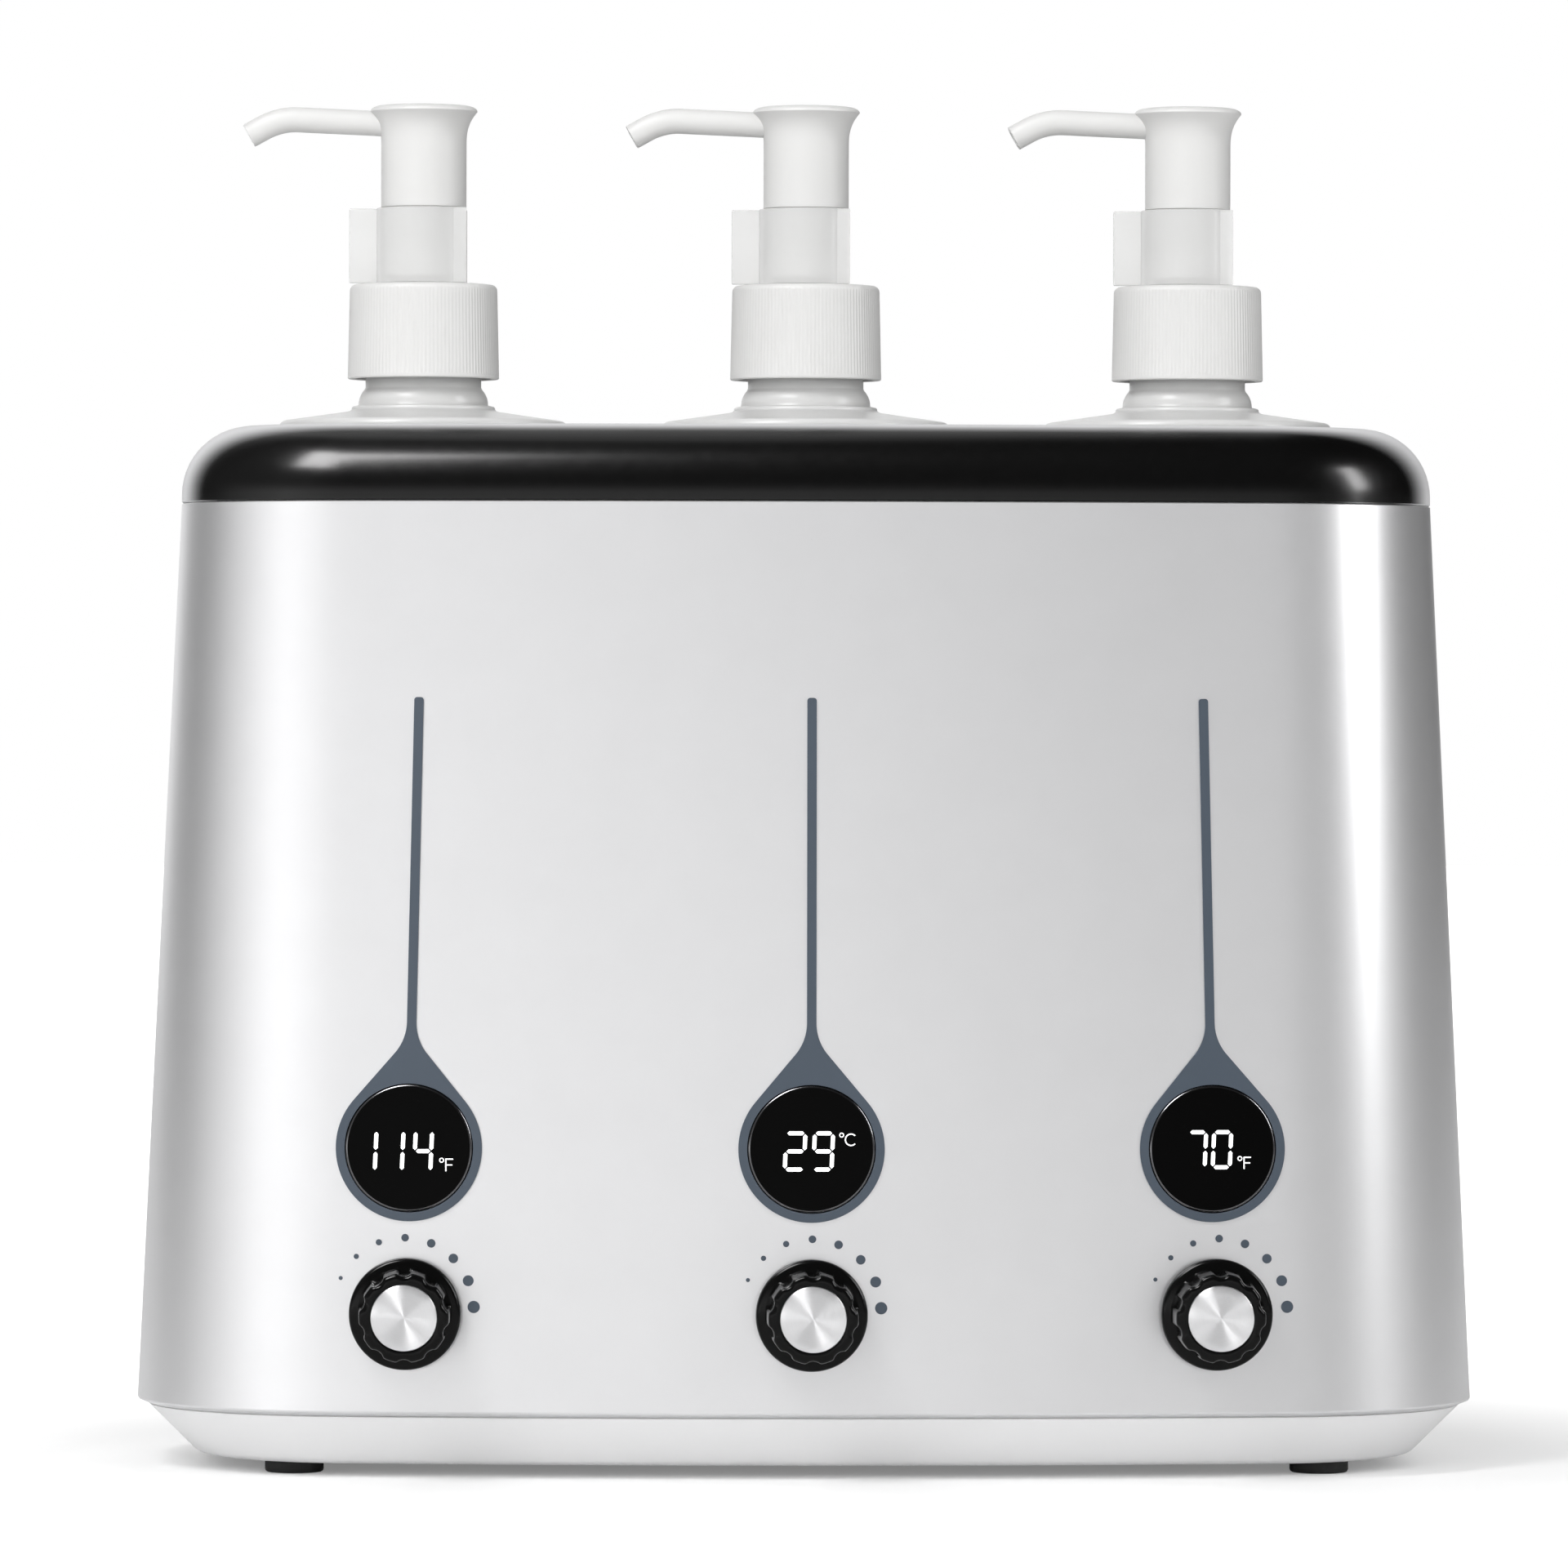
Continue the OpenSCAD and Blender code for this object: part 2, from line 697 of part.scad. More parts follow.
module heater_mats() {
    color("orangered")
        at_bottles()
            difference() {
                union() {
                    in_cell()
                        ring(heater_r + heater_t, heater_r, z_heater, z_heater + heater_h);
                    difference() {
                        block(-2 * lead_dx, 2 * lead_dx, 0, lead_y + lead_d, z_heater, z_heater + terminal_h);
                        translate([0, 0, z_heater - eps])
                            cylinder(r = heater_r, h = heater_h);
                    }
                }
                block(-heater_slit / 2, heater_slit / 2, -lead_y, 0,
                    z_heater - eps, z_heater + heater_h + eps);
            }
}

module well_seals() {
    color("#303030")
        intersection() {
            at_bottles()
                in_cell()
                    ring(well_out_r + well_flange_w, well_r + well_wall / 2, z_flange, z_flange + seal_t);
            lid_inside([[lean(z_lid) + lid_edge_r, z_top]]);
        }
}

module temperature_sensors() {
    color("goldenrod")
        at_bottles()
            translate([0, 0, z_well - sensor_t])
                cylinder(d = sensor_d, h = sensor_t);
}

module display_lenses() {
    reach = lens_d / 2 + lens_flange + eps;
    back = shell_wall + 1.5 * lens_flange;
    color("black") {
        intersection() {
            lens_rods(lens_d);
            wall(-seat - trim_t - lens_show, back, display_z - reach, display_z + reach);
        }
        intersection() {
            lens_rods(lens_d + 2 * lens_flange);
            wall(shell_wall + seat, back, display_z - reach, display_z + reach);
        }
    }
}

module lens_rods(d) {
    for (i = [0:2])
        rod_y(channel_x(i, display_z), display_z, d, -half_d - eps, -half_d / 2);
}

// Round end, hollow sides and stem of a trim, with the display's centre at the origin
module drop_outline() {
    r = trim_d / 2;
    w = trim_stem_w / 2;
    curve_x = w + trim_curve_r;
    curve_y = (r + trim_curve_r - cos(trim_side_a) * curve_x) / sin(trim_side_a);
    half = concat(
        [[w, trim_top_z - display_z]],
        [for (a = [180:5:180 + trim_side_a])
            [curve_x + trim_curve_r * cos(a), curve_y + trim_curve_r * sin(a)]],
        [for (k = [0:round_steps])
            let (a = trim_side_a - (90 + trim_side_a) * k / round_steps)
            [r * cos(a), r * sin(a)]]);
    polygon(concat(half, [for (k = [len(half) - 2:-1:0]) [-half[k].x, half[k].y]]));
}

module drop_trim(i) {
    color("slategray")
        difference() {
            intersection() {
                translate([channel_x(i, display_z), 0, display_z])
                    rotate([90, 0, 0])
                        rotate([0, 0, side(i) * channel_lean])
                            linear_extrude(half_d + eps)
                                drop_outline();
                wall(-seat - trim_t, -seat, display_z - trim_d, trim_top_z + eps);
            }
            rod_y(channel_x(i, display_z), display_z, lens_d + 2 * fit, -half_d - eps, 0);
        }
}

module display_modules() {
    color("ivory")
        for (i = [0:2]) {
            x = channel_x(i, display_z);
            block(x - module_w / 2, x + module_w / 2, board_y(i) - module_t, board_y(i),
                display_z - module_h / 2, display_z + module_h / 2);
        }
}

module control_boards() {
    color("seagreen")
        for (i = [0:2]) {
            x = channel_x(i, knob_z);
            difference() {
                block(x - board_w / 2, x + board_w / 2, board_y(i), board_y(i) + board_t,
                    z_board, display_z + board_edge);
                for (p = board_posts(i))
                    rod_y(p[0], p[1], board_screw_d + 2 * seat, board_y(i) - eps, board_y(i) + board_t + eps);
            }
        }
}

module board_screws() {
    color("lightgray")
        for (i = [0:2])
            for (p = board_posts(i)) {
                rod_y(p[0], p[1], board_screw_d, board_y(i) - board_screw_in,
                    board_y(i) + board_t + board_screw_head_h / 2);
                rod_y(p[0], p[1], board_screw_head_d, board_y(i) + board_t,
                    board_y(i) + board_t + board_screw_head_h);
            }
}

module control_bodies() {
    color("gray")
        for (i = [0:2]) {
            x = channel_x(i, knob_z);
            difference() {
                union() {
                    rod_y(x, knob_z, control_d, board_y(i) - control_t, board_y(i));
                    rod_y(x, knob_z, bush_d, knob_face(i) - boss_rise / 2, board_y(i) - control_t / 2);
                }
                rod_y(x, knob_z, shaft_d + 2 * run_fit, -half_d - boss_rise, board_y(i) - control_floor);
            }
        }
}

module control_shaft(i) {
    color("lightgray")
        rod_y(channel_x(i, knob_z), knob_z, shaft_d, knob_back(i) - shaft_in,
            board_y(i) - control_floor - play);
}

// A knob or its cap, drawn upright and laid along -Y with its back at the boss
module on_knob_axis(i) {
    translate([channel_x(i, knob_z), knob_back(i), knob_z])
        rotate([90, 0, 0])
            children();
}

module knob(i) {
    flange_r = knob_flange_d / 2;
    grip_r = knob_grip_d / 2;
    z_grip = knob_flange_t;
    color("#0c0c0c")
        on_knob_axis(i)
            difference() {
                rotate_extrude()
                    polygon([
                        [0, 0], [flange_r - soft, 0], [flange_r, soft], [flange_r, z_grip - 3 * soft],
                        [flange_r - soft, z_grip - soft], [flange_r - 3 * soft, z_grip], [grip_r, z_grip],
                        [grip_r - soft, knob_h - 3 * soft], [grip_r - 2 * soft, knob_h - soft],
                        [grip_r - 4 * soft, knob_h], [0, knob_h]]);
                for (k = [0:scallops - 1])
                    rotate(360 * k / scallops)
                        translate([grip_r + scallop_r - scallop_depth, 0, z_grip + 2 * soft])
                            cylinder(r = scallop_r, h = knob_h);
                translate([0, 0, -eps])
                    cylinder(d = shaft_d + 2 * seat, h = shaft_in + fit + eps);
                translate([0, 0, knob_h + cap_show - cap_t])
                    cylinder(d = cap_d + 2 * seat, h = cap_t);
            }
}

module knob_cap(i) {
    color("gainsboro")
        on_knob_axis(i)
            translate([0, 0, knob_h + cap_show - cap_t])
                cylinder(d = cap_d, h = cap_t);
}

// Board with its transformer, capacitor, relays and heater connectors
module power_board() {
    y = -power_front + standoff_d;
    z = z_power + board_t;
    color("darkgreen") {
        block(-power_board_w / 2, power_board_w / 2, -power_front, power_back, z_power, z);
        translate([-transformer.x - bottle_pitch / 3, y, z - eps])
            cube(transformer + [0, 0, eps]);
        translate([-capacitor[0] / 2, y + capacitor[0], z - eps])
            cylinder(d = capacitor[0], h = capacitor[1] + eps);
        for (k = [0:2])
            translate([capacitor[0] + 1.2 * k * relay.x, y, z - eps])
                cube(relay + [0, 0, eps]);
        at_bottles()
            block(-2 * lead_dx, 2 * lead_dx, lead_y - lead_dx, lead_y + lead_dx, z - eps, z_connector);
    }
}

module heater_leads() {
    color("firebrick")
        at_bottles()
            for (sx = [-1, 1])
                translate([sx * lead_dx, lead_y, z_connector])
                    cylinder(d = lead_d, h = z_heater - z_connector);
}

module inlet_socket() {
    y0 = y_inlet - inlet_l;
    color("#1a1a1a")
        difference() {
            union() {
                block(-inlet_w / 2, inlet_w / 2, y0, y_inlet, inlet_z - inlet_h / 2, inlet_z + inlet_h / 2);
                block(-inlet_w / 2 - inlet_rim, inlet_w / 2 + inlet_rim, y_inlet - inlet_rim, y_inlet,
                    inlet_z - inlet_h / 2 - inlet_rim, inlet_z + inlet_h / 2 + inlet_rim);
            }
            for (sx = [-1, 1]) {
                rod_y(sx * pin_pitch / 2, inlet_z, 2 * pin_recess_r, y_inlet - inlet_depth, y_inlet + eps);
                rod_y(sx * pin_pitch / 2, inlet_z, pin_d + 2 * seat, y0 - eps, y_inlet);
            }
            block(-pin_pitch / 2, pin_pitch / 2, y_inlet - inlet_depth, y_inlet + eps,
                inlet_z - inlet_waist, inlet_z + inlet_waist);
        }
}

module inlet_pins() {
    color("goldenrod")
        for (sx = [-1, 1])
            rod_y(sx * pin_pitch / 2, inlet_z, pin_d, y_inlet - inlet_l - pin_tail, y_inlet - pin_sunk);
}

module bottle(i) {
    r = bottle_r;
    f = bottle_foot_r;
    s = shoulder_r;
    step_r = neck_step_d / 2;
    bead_r = bead_d / 2;
    neck_r = neck_d / 2;
    in_r = r - bottle_wall;
    in_neck_r = neck_r - neck_wall;
    color("whitesmoke")
        translate([bottle_x(i), 0, 0])
            rotate_extrude()
                polygon(concat(
                    [[0, z_bottle]],
                    [for (a = [-90:15:0]) [r - f + f * cos(a), z_bottle + f + f * sin(a)]],
                    [for (a = [0:15:75]) [r - s + s * cos(a), z_shoulder - s + s * sin(a)]],
                    [[step_r + soft, z_bead - 3 * soft], [step_r, z_bead - soft], [step_r - soft, z_bead],
                    [bead_r, z_bead], [bead_r, z_bead + bead_h - soft], [bead_r - soft, z_bead + bead_h],
                    [neck_r, z_bead + bead_h], [neck_r, z_neck], [in_neck_r, z_neck],
                    [in_neck_r, z_bead - bottle_wall], [step_r, z_bead - 2 * bottle_wall],
                    [in_r - 2 * s, z_shoulder - s - bottle_wall], [in_r, z_shoulder - 2 * s - bottle_wall],
                    [in_r, z_bottle + f], [in_r - f / 2, z_inside], [0, z_inside]]));
}

module pump_housing(i) {
    bore_r = piston_d / 2;
    out_r = bore_r + housing_wall;
    socket_r = tube_d / 2 + seat;
    color("ghostwhite")
        translate([bottle_x(i), 0, 0])
            rotate_extrude()
                polygon([
                    [bore_r, z_neck + flange_t], [flange_r, z_neck + flange_t], [flange_r, z_neck],
                    [out_r, z_neck], [out_r, z_bore], [socket_r + housing_wall, z_tube],
                    [socket_r + housing_wall, z_tube - tube_in], [socket_r, z_tube - tube_in],
                    [socket_r, z_tube], [flow_d / 2, z_tube], [flow_d / 2, z_bore], [bore_r, z_bore]]);
}

module dip_tube(i) {
    color("azure")
        translate([bottle_x(i), 0, 0])
            ring(tube_d / 2, tube_d / 2 - tube_wall, z_inside + tube_lift, z_tube);
}

// Return spring between the housing's floor and the piston
module pump_spring(i) {
    rings = 8;
    facets = 6;
    wire_r = spring_wire / 2;
    coil_r = piston_d / 2 - wire_r - fit;
    z0 = z_bore + wire_r + seat;
    rise = z_piston - wire_r - seat - z0;
    n = spring_turns * rings;
    points = [for (k = [0:n]) for (j = [0:facets - 1])
        let (t = 360 * k / rings, a = 360 * j / facets, rr = coil_r + wire_r * cos(a))
        [rr * cos(t), rr * sin(t), z0 + rise * k / n + wire_r * sin(a)]];
    tube = [for (k = [0:n - 1]) for (j = [0:facets - 1])
        let (a = k * facets + j, b = k * facets + (j + 1) % facets)
        each [[a, b, a + facets], [b, b + facets, a + facets]]];
    start = [for (j = [facets - 1:-1:0]) j];
    end = [for (j = [0:facets - 1]) n * facets + j];
    color("lightsteelblue")
        translate([bottle_x(i), 0, 0])
            polyhedron(points, concat([start], tube, [end]));
}

module pump_collar(i) {
    color("white")
        translate([bottle_x(i), 0, 0])
            rotate_extrude()
                polygon([
                    [stem_d / 2 + run_fit, z_neck + flange_t], [flange_r, z_neck + flange_t],
                    [flange_r, z_neck + 2 * flange_t], [collar_d / 2, z_neck + 2 * flange_t],
                    [collar_d / 2, z_chimney - soft], [collar_d / 2 - soft, z_chimney],
                    [stem_d / 2 + run_fit, z_chimney]]);
}

module closure(i) {
    r0 = closure_d / 2;
    r1 = r0 - closure_taper / 2;
    in_r = r0 - closure_wall;
    color("white")
        translate([bottle_x(i), 0, 0])
            rotate_extrude()
                polygon([
                    [in_r, z_closure], [r0, z_closure], [r1, z_cap - 4 * soft], [r1 - soft, z_cap - soft],
                    [r1 - 4 * soft, z_cap], [collar_d / 2 + play, z_cap],
                    [collar_d / 2 + play, z_cap - closure_wall],
                    [in_r - closure_taper, z_cap - closure_wall]]);
}

module pump_stem(i) {
    rod_r = stem_d / 2;
    piston_r = piston_d / 2 - run_fit;
    z_end = z_head + head_cavity + stem_in_head - seat;
    color("white")
        translate([bottle_x(i), 0, 0])
            rotate_extrude()
                polygon([
                    [flow_d / 2, z_piston], [piston_r, z_piston], [piston_r, z_piston + piston_l],
                    [rod_r, z_piston + piston_l], [rod_r, z_end], [flow_d / 2, z_end]]);
}

// Frame of the spout: +Z runs along the straight part from the pump's axis, and -X is downwards
module on_spout_axis() {
    translate([0, 0, z_head_top - spout_down])
        rotate([0, spout_rise - 90, 0])
            children();
}

// Bent tube and straight tip, which start a little way inside the straight part
module spout_bend() {
    facets = 24;
    steps = 6;
    lap = 1;
    bend = spout_rise + spout_drop;
    function on_arc(b) = [spout_bend_r * (cos(b) - 1), spout_run + spout_bend_r * sin(b)];
    stations = concat(
        [[[0, spout_run - lap], 0]],
        [for (k = [0:steps]) [on_arc(bend * k / steps), bend * k / steps]],
        [[on_arc(bend) + spout_tip * [-sin(bend), cos(bend)], bend]]);
    function tube(r) = [for (s = stations) for (j = [0:facets - 1])
        let (a = 360 * j / facets)
        [s[0][0] + r * cos(a) * cos(s[1]), r * sin(a), s[0][1] + r * cos(a) * sin(s[1])]];
    n = len(stations) * facets;
    last = n - facets;
    around = [for (j = [0:facets - 1]) [j, (j + 1) % facets]];
    sides = [for (k = [0:facets:last - 1]) for (p = around)
        each [[k + p[0], k + p[0] + facets, k + p[1] + facets, k + p[1]],
            [n + k + p[0], n + k + p[1], n + k + p[1] + facets, n + k + p[0] + facets]]];
    ends = [for (p = around)
        each [[p[0], p[1], n + p[1], n + p[0]],
            [last + p[1], last + p[0], last + n + p[0], last + n + p[1]]]];
    polyhedron(concat(tube(spout_d / 2 - seat / 2), tube(flow_d / 2 + seat / 2)), concat(sides, ends));
}

module pump_head(i) {
    r = head_d / 2;
    top_r = head_top_d / 2;
    z_flare = z_head_top - head_flare_h;
    flare_power = 2.6;
    flare = [for (u = [0:0.2:1])
        [r + (top_r - r) * pow(u, flare_power), z_flare + (head_flare_h - head_rim) * u]];
    rim = [for (a = [30:30:90])
        [top_r - 2 * head_rim * (1 - cos(a)), z_head_top - head_rim * (1 - sin(a))]];
    color("white")
        translate([bottle_x(i), 0, 0]) {
            difference() {
                union() {
                    rotate_extrude()
                        polygon(concat([[0, z_head], [r, z_head]], flare, rim,
                            [[0, z_head_top + head_dome]]));
                    on_spout_axis()
                        cylinder(d = spout_d, h = spout_run);
                }
                translate([0, 0, z_head - eps])
                    cylinder(r = r - head_wall, h = head_cavity + eps);
                translate([0, 0, z_head])
                    cylinder(d = stem_d + 2 * run_fit, h = head_cavity + stem_in_head);
                translate([0, 0, z_head])
                    cylinder(d = riser_d, h = head_h - spout_down);
                on_spout_axis()
                    cylinder(d = flow_d, h = spout_run + eps);
            }
            on_spout_axis()
                spout_bend();
        }
}

module lock_clip(i) {
    in_r = head_d / 2 + fit;
    out_r = in_r + clip_wall;
    slot = collar_d / 2 + play;
    jaw_x = sqrt(in_r * in_r - slot * slot);
    color("aliceblue", 0.6)
        translate([bottle_x(i), 0, z_clip])
            difference() {
                union() {
                    cylinder(r = out_r, h = clip_h);
                    block(-clip_tab_reach, -in_r, -clip_tab_t / 2, clip_tab_t / 2, 0, clip_h);
                    for (s = [-1, 1])
                        translate([0, s * (slot + clip_wall / 2), 0])
                            block(jaw_x, clip_jaw_reach, -clip_wall / 2, clip_wall / 2, 0, clip_h);
                }
                translate([0, 0, clip_floor])
                    cylinder(r = in_r, h = clip_h);
                translate([0, 0, -eps])
                    cylinder(r = slot, h = clip_h);
                block(0, 2 * out_r, -slot, slot, -eps, clip_h + eps);
            }
}

function shows(name) = node == "all" || node == name;
function shows_at(piece, i) = shows(str(piece, "_", SIDES[i]));

if (shows("base_pan")) base_pan();
if (shows("rubber_feet")) rubber_feet();
if (shows("base_screws")) base_screws();
if (shows("outer_shell")) outer_shell();
if (shows("top_lid")) top_lid();
if (shows("well_carrier")) well_carrier();
if (shows("heater_mats")) heater_mats();
if (shows("well_seals")) well_seals();
if (shows("temperature_sensors")) temperature_sensors();
if (shows("display_lenses")) display_lenses();
if (shows("display_modules")) display_modules();
if (shows("control_boards")) control_boards();
if (shows("control_bodies")) control_bodies();
if (shows("board_screws")) board_screws();
if (shows("power_board")) power_board();
if (shows("heater_leads")) heater_leads();
if (shows("inlet_socket")) inlet_socket();
if (shows("inlet_pins")) inlet_pins();
for (i = [0:2]) {
    if (shows_at("heating_well", i)) heating_well(i);
    if (shows_at("drop_trim", i)) drop_trim(i);
    if (shows_at("knob", i)) knob(i);
    if (shows_at("knob_cap", i)) knob_cap(i);
    if (shows_at("control_shaft", i)) control_shaft(i);
    if (shows_at("bottle", i)) bottle(i);
    if (shows_at("pump_housing", i)) pump_housing(i);
    if (shows_at("pump_collar", i)) pump_collar(i);
    if (shows_at("dip_tube", i)) dip_tube(i);
    if (shows_at("pump_spring", i)) pump_spring(i);
    if (shows_at("closure", i)) closure(i);
    if (shows_at("pump_stem", i)) pump_stem(i);
    if (shows_at("pump_head", i)) pump_head(i);
    if (shows_at("lock_clip", i)) lock_clip(i);
}
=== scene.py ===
# %% [markdown]
# # A warmer for three pump bottles
# The object is a tapered countertop warmer for massage oil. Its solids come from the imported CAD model, which
# is loaded first and never moved. This lesson dresses that frame: the large covers, the printed and lit
# details and the pumps are modelled again with softer edges, and every other CAD piece gets a better finish.

# %% Load the fixed frame
import math

import bmesh
import bpy
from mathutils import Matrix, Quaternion, Vector
from mathutils.kdtree import KDTree


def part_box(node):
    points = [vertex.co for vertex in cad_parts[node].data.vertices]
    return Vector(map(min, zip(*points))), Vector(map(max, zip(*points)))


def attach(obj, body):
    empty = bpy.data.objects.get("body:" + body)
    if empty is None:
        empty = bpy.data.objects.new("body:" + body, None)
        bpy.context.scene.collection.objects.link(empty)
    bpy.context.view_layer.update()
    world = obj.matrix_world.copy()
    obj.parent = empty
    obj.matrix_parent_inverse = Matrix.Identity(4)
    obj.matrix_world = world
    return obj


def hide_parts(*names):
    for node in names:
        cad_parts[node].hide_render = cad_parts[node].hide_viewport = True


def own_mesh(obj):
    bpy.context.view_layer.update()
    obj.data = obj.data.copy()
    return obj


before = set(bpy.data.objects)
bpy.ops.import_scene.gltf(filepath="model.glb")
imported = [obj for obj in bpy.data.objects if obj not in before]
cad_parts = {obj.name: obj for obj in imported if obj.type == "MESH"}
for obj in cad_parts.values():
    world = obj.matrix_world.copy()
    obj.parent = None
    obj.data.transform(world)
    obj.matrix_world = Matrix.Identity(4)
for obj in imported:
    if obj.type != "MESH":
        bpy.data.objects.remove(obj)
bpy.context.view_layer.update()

MM = 0.001
SIDES = ("left", "middle", "right")

# %% [markdown]
# ## The levels and the plan of the body
# The covers follow one plan: four corner arcs that run smoothly into a bowed front and rear. The walls lean
# inwards with height by a constant angle. These are the CAD model's own numbers, in millimetres, so what is
# modelled here lands exactly on the frame.

# %% Sizes shared by many pieces
HALF_W, HALF_D, CORNER_R, BOW_R = 140.0, 64.0, 48.0, 800.0
LEAN = math.tan(math.radians(2.72))
Z_BASE, Z_FLOOR, Z_SEAM, Z_LID, Z_TOP = 2.5, 4.7, 13.2, 201.3, 217.5
TRIM_TOP_Z, CHANNEL_LEAN = 160.8, math.radians(1.15)
KNOB_Z, DISPLAY_Z = 34.5, 68.3
WELL_R, WELL_OUT_R, WELL_RIM, LID_EDGE_R = 31.5, 32.7, 3.3, 14.4
BOTTLE_PITCH = HALF_W - (Z_LID - Z_SEAM) * LEAN - LID_EDGE_R - WELL_RIM - WELL_OUT_R
corner_x = HALF_W - CORNER_R
bow_y = BOW_R - HALF_D
bow_reach = math.sqrt((BOW_R - CORNER_R) ** 2 - corner_x ** 2)
corner_y = bow_reach - bow_y
tangent_a = math.atan2(bow_reach, corner_x)


def inset_at(z):
    return (z - Z_SEAM) * LEAN


def front_y(x, z):
    return bow_y - math.sqrt((BOW_R - inset_at(z)) ** 2 - x * x)


def channel_x(k, z):
    return (k - 1) * (BOTTLE_PITCH + (TRIM_TOP_Z - z) * math.tan(CHANNEL_LEAN))


def bottle_x(k):
    return (k - 1) * BOTTLE_PITCH


def plan_ring(inset, z, corner_steps=24, bow_steps=26):
    """Points of the plan, inset by some millimetres, all round and counter-clockwise."""
    quarter = []
    corner, bow = CORNER_R - inset, BOW_R - inset
    for k in range(corner_steps + 1):
        t = tangent_a * k / corner_steps
        quarter.append((corner_x + corner * math.cos(t), corner_y + corner * math.sin(t)))
    for k in range(1, bow_steps + 1):
        t = tangent_a + (math.pi / 2 - tangent_a) * k / bow_steps
        quarter.append((bow * math.cos(t), bow * math.sin(t) - bow_y))
    back = quarter[-2::-1]
    ring = quarter + [(-x, y) for x, y in back] + [(-x, -y) for x, y in quarter[1:]]
    ring += [(x, -y) for x, y in back[:-1]]
    return [Vector((x, y, z)) * MM for x, y in ring]


print("points round the plan:", len(plan_ring(0, 0)))

# %% [markdown]
# ## Modelling helpers
# An operator acts on all that is selected, so each piece starts with nothing selected. A turned piece grows
# from a circle that is extruded and resized, ring by ring, as by hand. A lofted piece does the same, but each
# new ring is set on given points. Both are made where they belong, and then their place goes into the mesh.

# %% Helpers for turned and lofted pieces
def start_fresh():
    if bpy.context.mode != "OBJECT":
        bpy.ops.object.mode_set(mode="OBJECT")
    bpy.ops.object.select_all(action="DESELECT")


def only(piece):
    start_fresh()
    piece.select_set(True)
    bpy.context.view_layer.objects.active = piece


def selected_points(piece, test):
    """In edit mode, selects the points that pass the test."""
    bm = bmesh.from_edit_mesh(piece.data)
    for v in bm.verts:
        v.select = test(v.co)
    bm.select_flush_mode()
    bmesh.update_edit_mesh(piece.data)


def end_modelling(piece, name, smooth=35.0):
    """Merges doubles, points the faces outwards, leaves edit mode and applies the place."""
    if bpy.context.mode != "OBJECT":
        bpy.ops.mesh.select_all(action="SELECT")
        bpy.ops.mesh.remove_doubles(threshold=0.002 * MM)
        bpy.ops.mesh.normals_make_consistent(inside=False)
    only(piece)
    piece.name = piece.data.name = name
    bpy.ops.object.transform_apply(location=True, rotation=True, scale=True)
    if smooth:
        bpy.ops.object.shade_smooth_by_angle(angle=math.radians(smooth))
    return piece


def turned(name, profile, around=96, cap_start=True, cap_end=True, shape=None, smooth=35.0):
    """A piece turned about the upright axis through the origin, from (radius, height) in millimetres."""
    start_fresh()
    r0, z0 = profile[0]
    bpy.ops.mesh.primitive_circle_add(vertices=around, radius=r0 * MM, enter_editmode=True)
    piece = bpy.context.object
    bpy.ops.transform.translate(value=(0, 0, z0 * MM))
    if cap_start:
        bpy.ops.mesh.edge_face_add()
    for r1, z1 in profile[1:]:
        bpy.ops.mesh.extrude_edges_move(TRANSFORM_OT_translate={"value": (0, 0, (z1 - z0) * MM)})
        if r1 != r0:
            bpy.ops.transform.resize(value=(r1 / r0, r1 / r0, 1), center_override=(0, 0, z1 * MM))
        r0, z0 = r1, z1
    if cap_end:
        bpy.ops.mesh.edge_face_add()
    if shape:
        shape(piece)
    return end_modelling(piece, name, smooth)


def lofted(name, rings, cap_start=True, cap_end=True, smooth=35.0):
    """A piece through rings of points that all have the same count."""
    start_fresh()
    bpy.ops.mesh.primitive_circle_add(vertices=len(rings[0]), radius=1, enter_editmode=True)
    piece = bpy.context.object
    bm = bmesh.from_edit_mesh(piece.data)
    for v, p in zip(sorted(bm.verts, key=lambda v: v.index), rings[0]):
        v.co = p
    bmesh.update_edit_mesh(piece.data)
    if cap_start:
        bpy.ops.mesh.edge_face_add()
    for last, ring in zip(rings, rings[1:]):
        near = KDTree(len(last))
        for k, p in enumerate(last):
            near.insert(p, k)
        near.balance()
        bpy.ops.mesh.extrude_edges_move()
        bm = bmesh.from_edit_mesh(piece.data)
        for v in bm.verts:
            if v.select:
                v.co = ring[near.find(v.co)[1]]
        bmesh.update_edit_mesh(piece.data)
    if cap_end:
        bpy.ops.mesh.edge_face_add()
    return end_modelling(piece, name, smooth)


def plan_loft(name, profile, **more):
    return lofted(name, [plan_ring(inset, z) for inset, z in profile], **more)


def moved(piece, x=0.0, y=0.0, z=0.0, tilt=0.0):
    """Lays a finished piece over by tilt about X, carries it to its place and applies that to the mesh."""
    only(piece)
    piece.rotation_euler = (math.radians(tilt), 0, 0)
    piece.location = (x * MM, y * MM, z * MM)
    bpy.ops.object.transform_apply(location=True, rotation=True, scale=True)
    return piece


def copied(piece, name):
    only(piece)
    bpy.ops.object.duplicate()
    other = bpy.context.object
    other.name = other.data.name = name
    return other


def joined(pieces, name):
    start_fresh()
    for p in pieces:
        p.select_set(True)
    bpy.context.view_layer.objects.active = pieces[0]
    bpy.ops.object.join()
    pieces[0].name = pieces[0].data.name = name
    return pieces[0]


def combined(piece, tool, operation="DIFFERENCE", smooth=35.0):
    """Cuts a tool out of a piece, or joins it on, and deletes the tool."""
    only(piece)
    change = piece.modifiers.new("combine", "BOOLEAN")
    change.operation = operation
    change.object = tool
    change.solver = "EXACT"
    bpy.ops.object.modifier_apply(modifier=change.name)
    bpy.data.objects.remove(tool)
    only(piece)
    bpy.ops.object.shade_smooth_by_angle(angle=math.radians(smooth))
    return piece


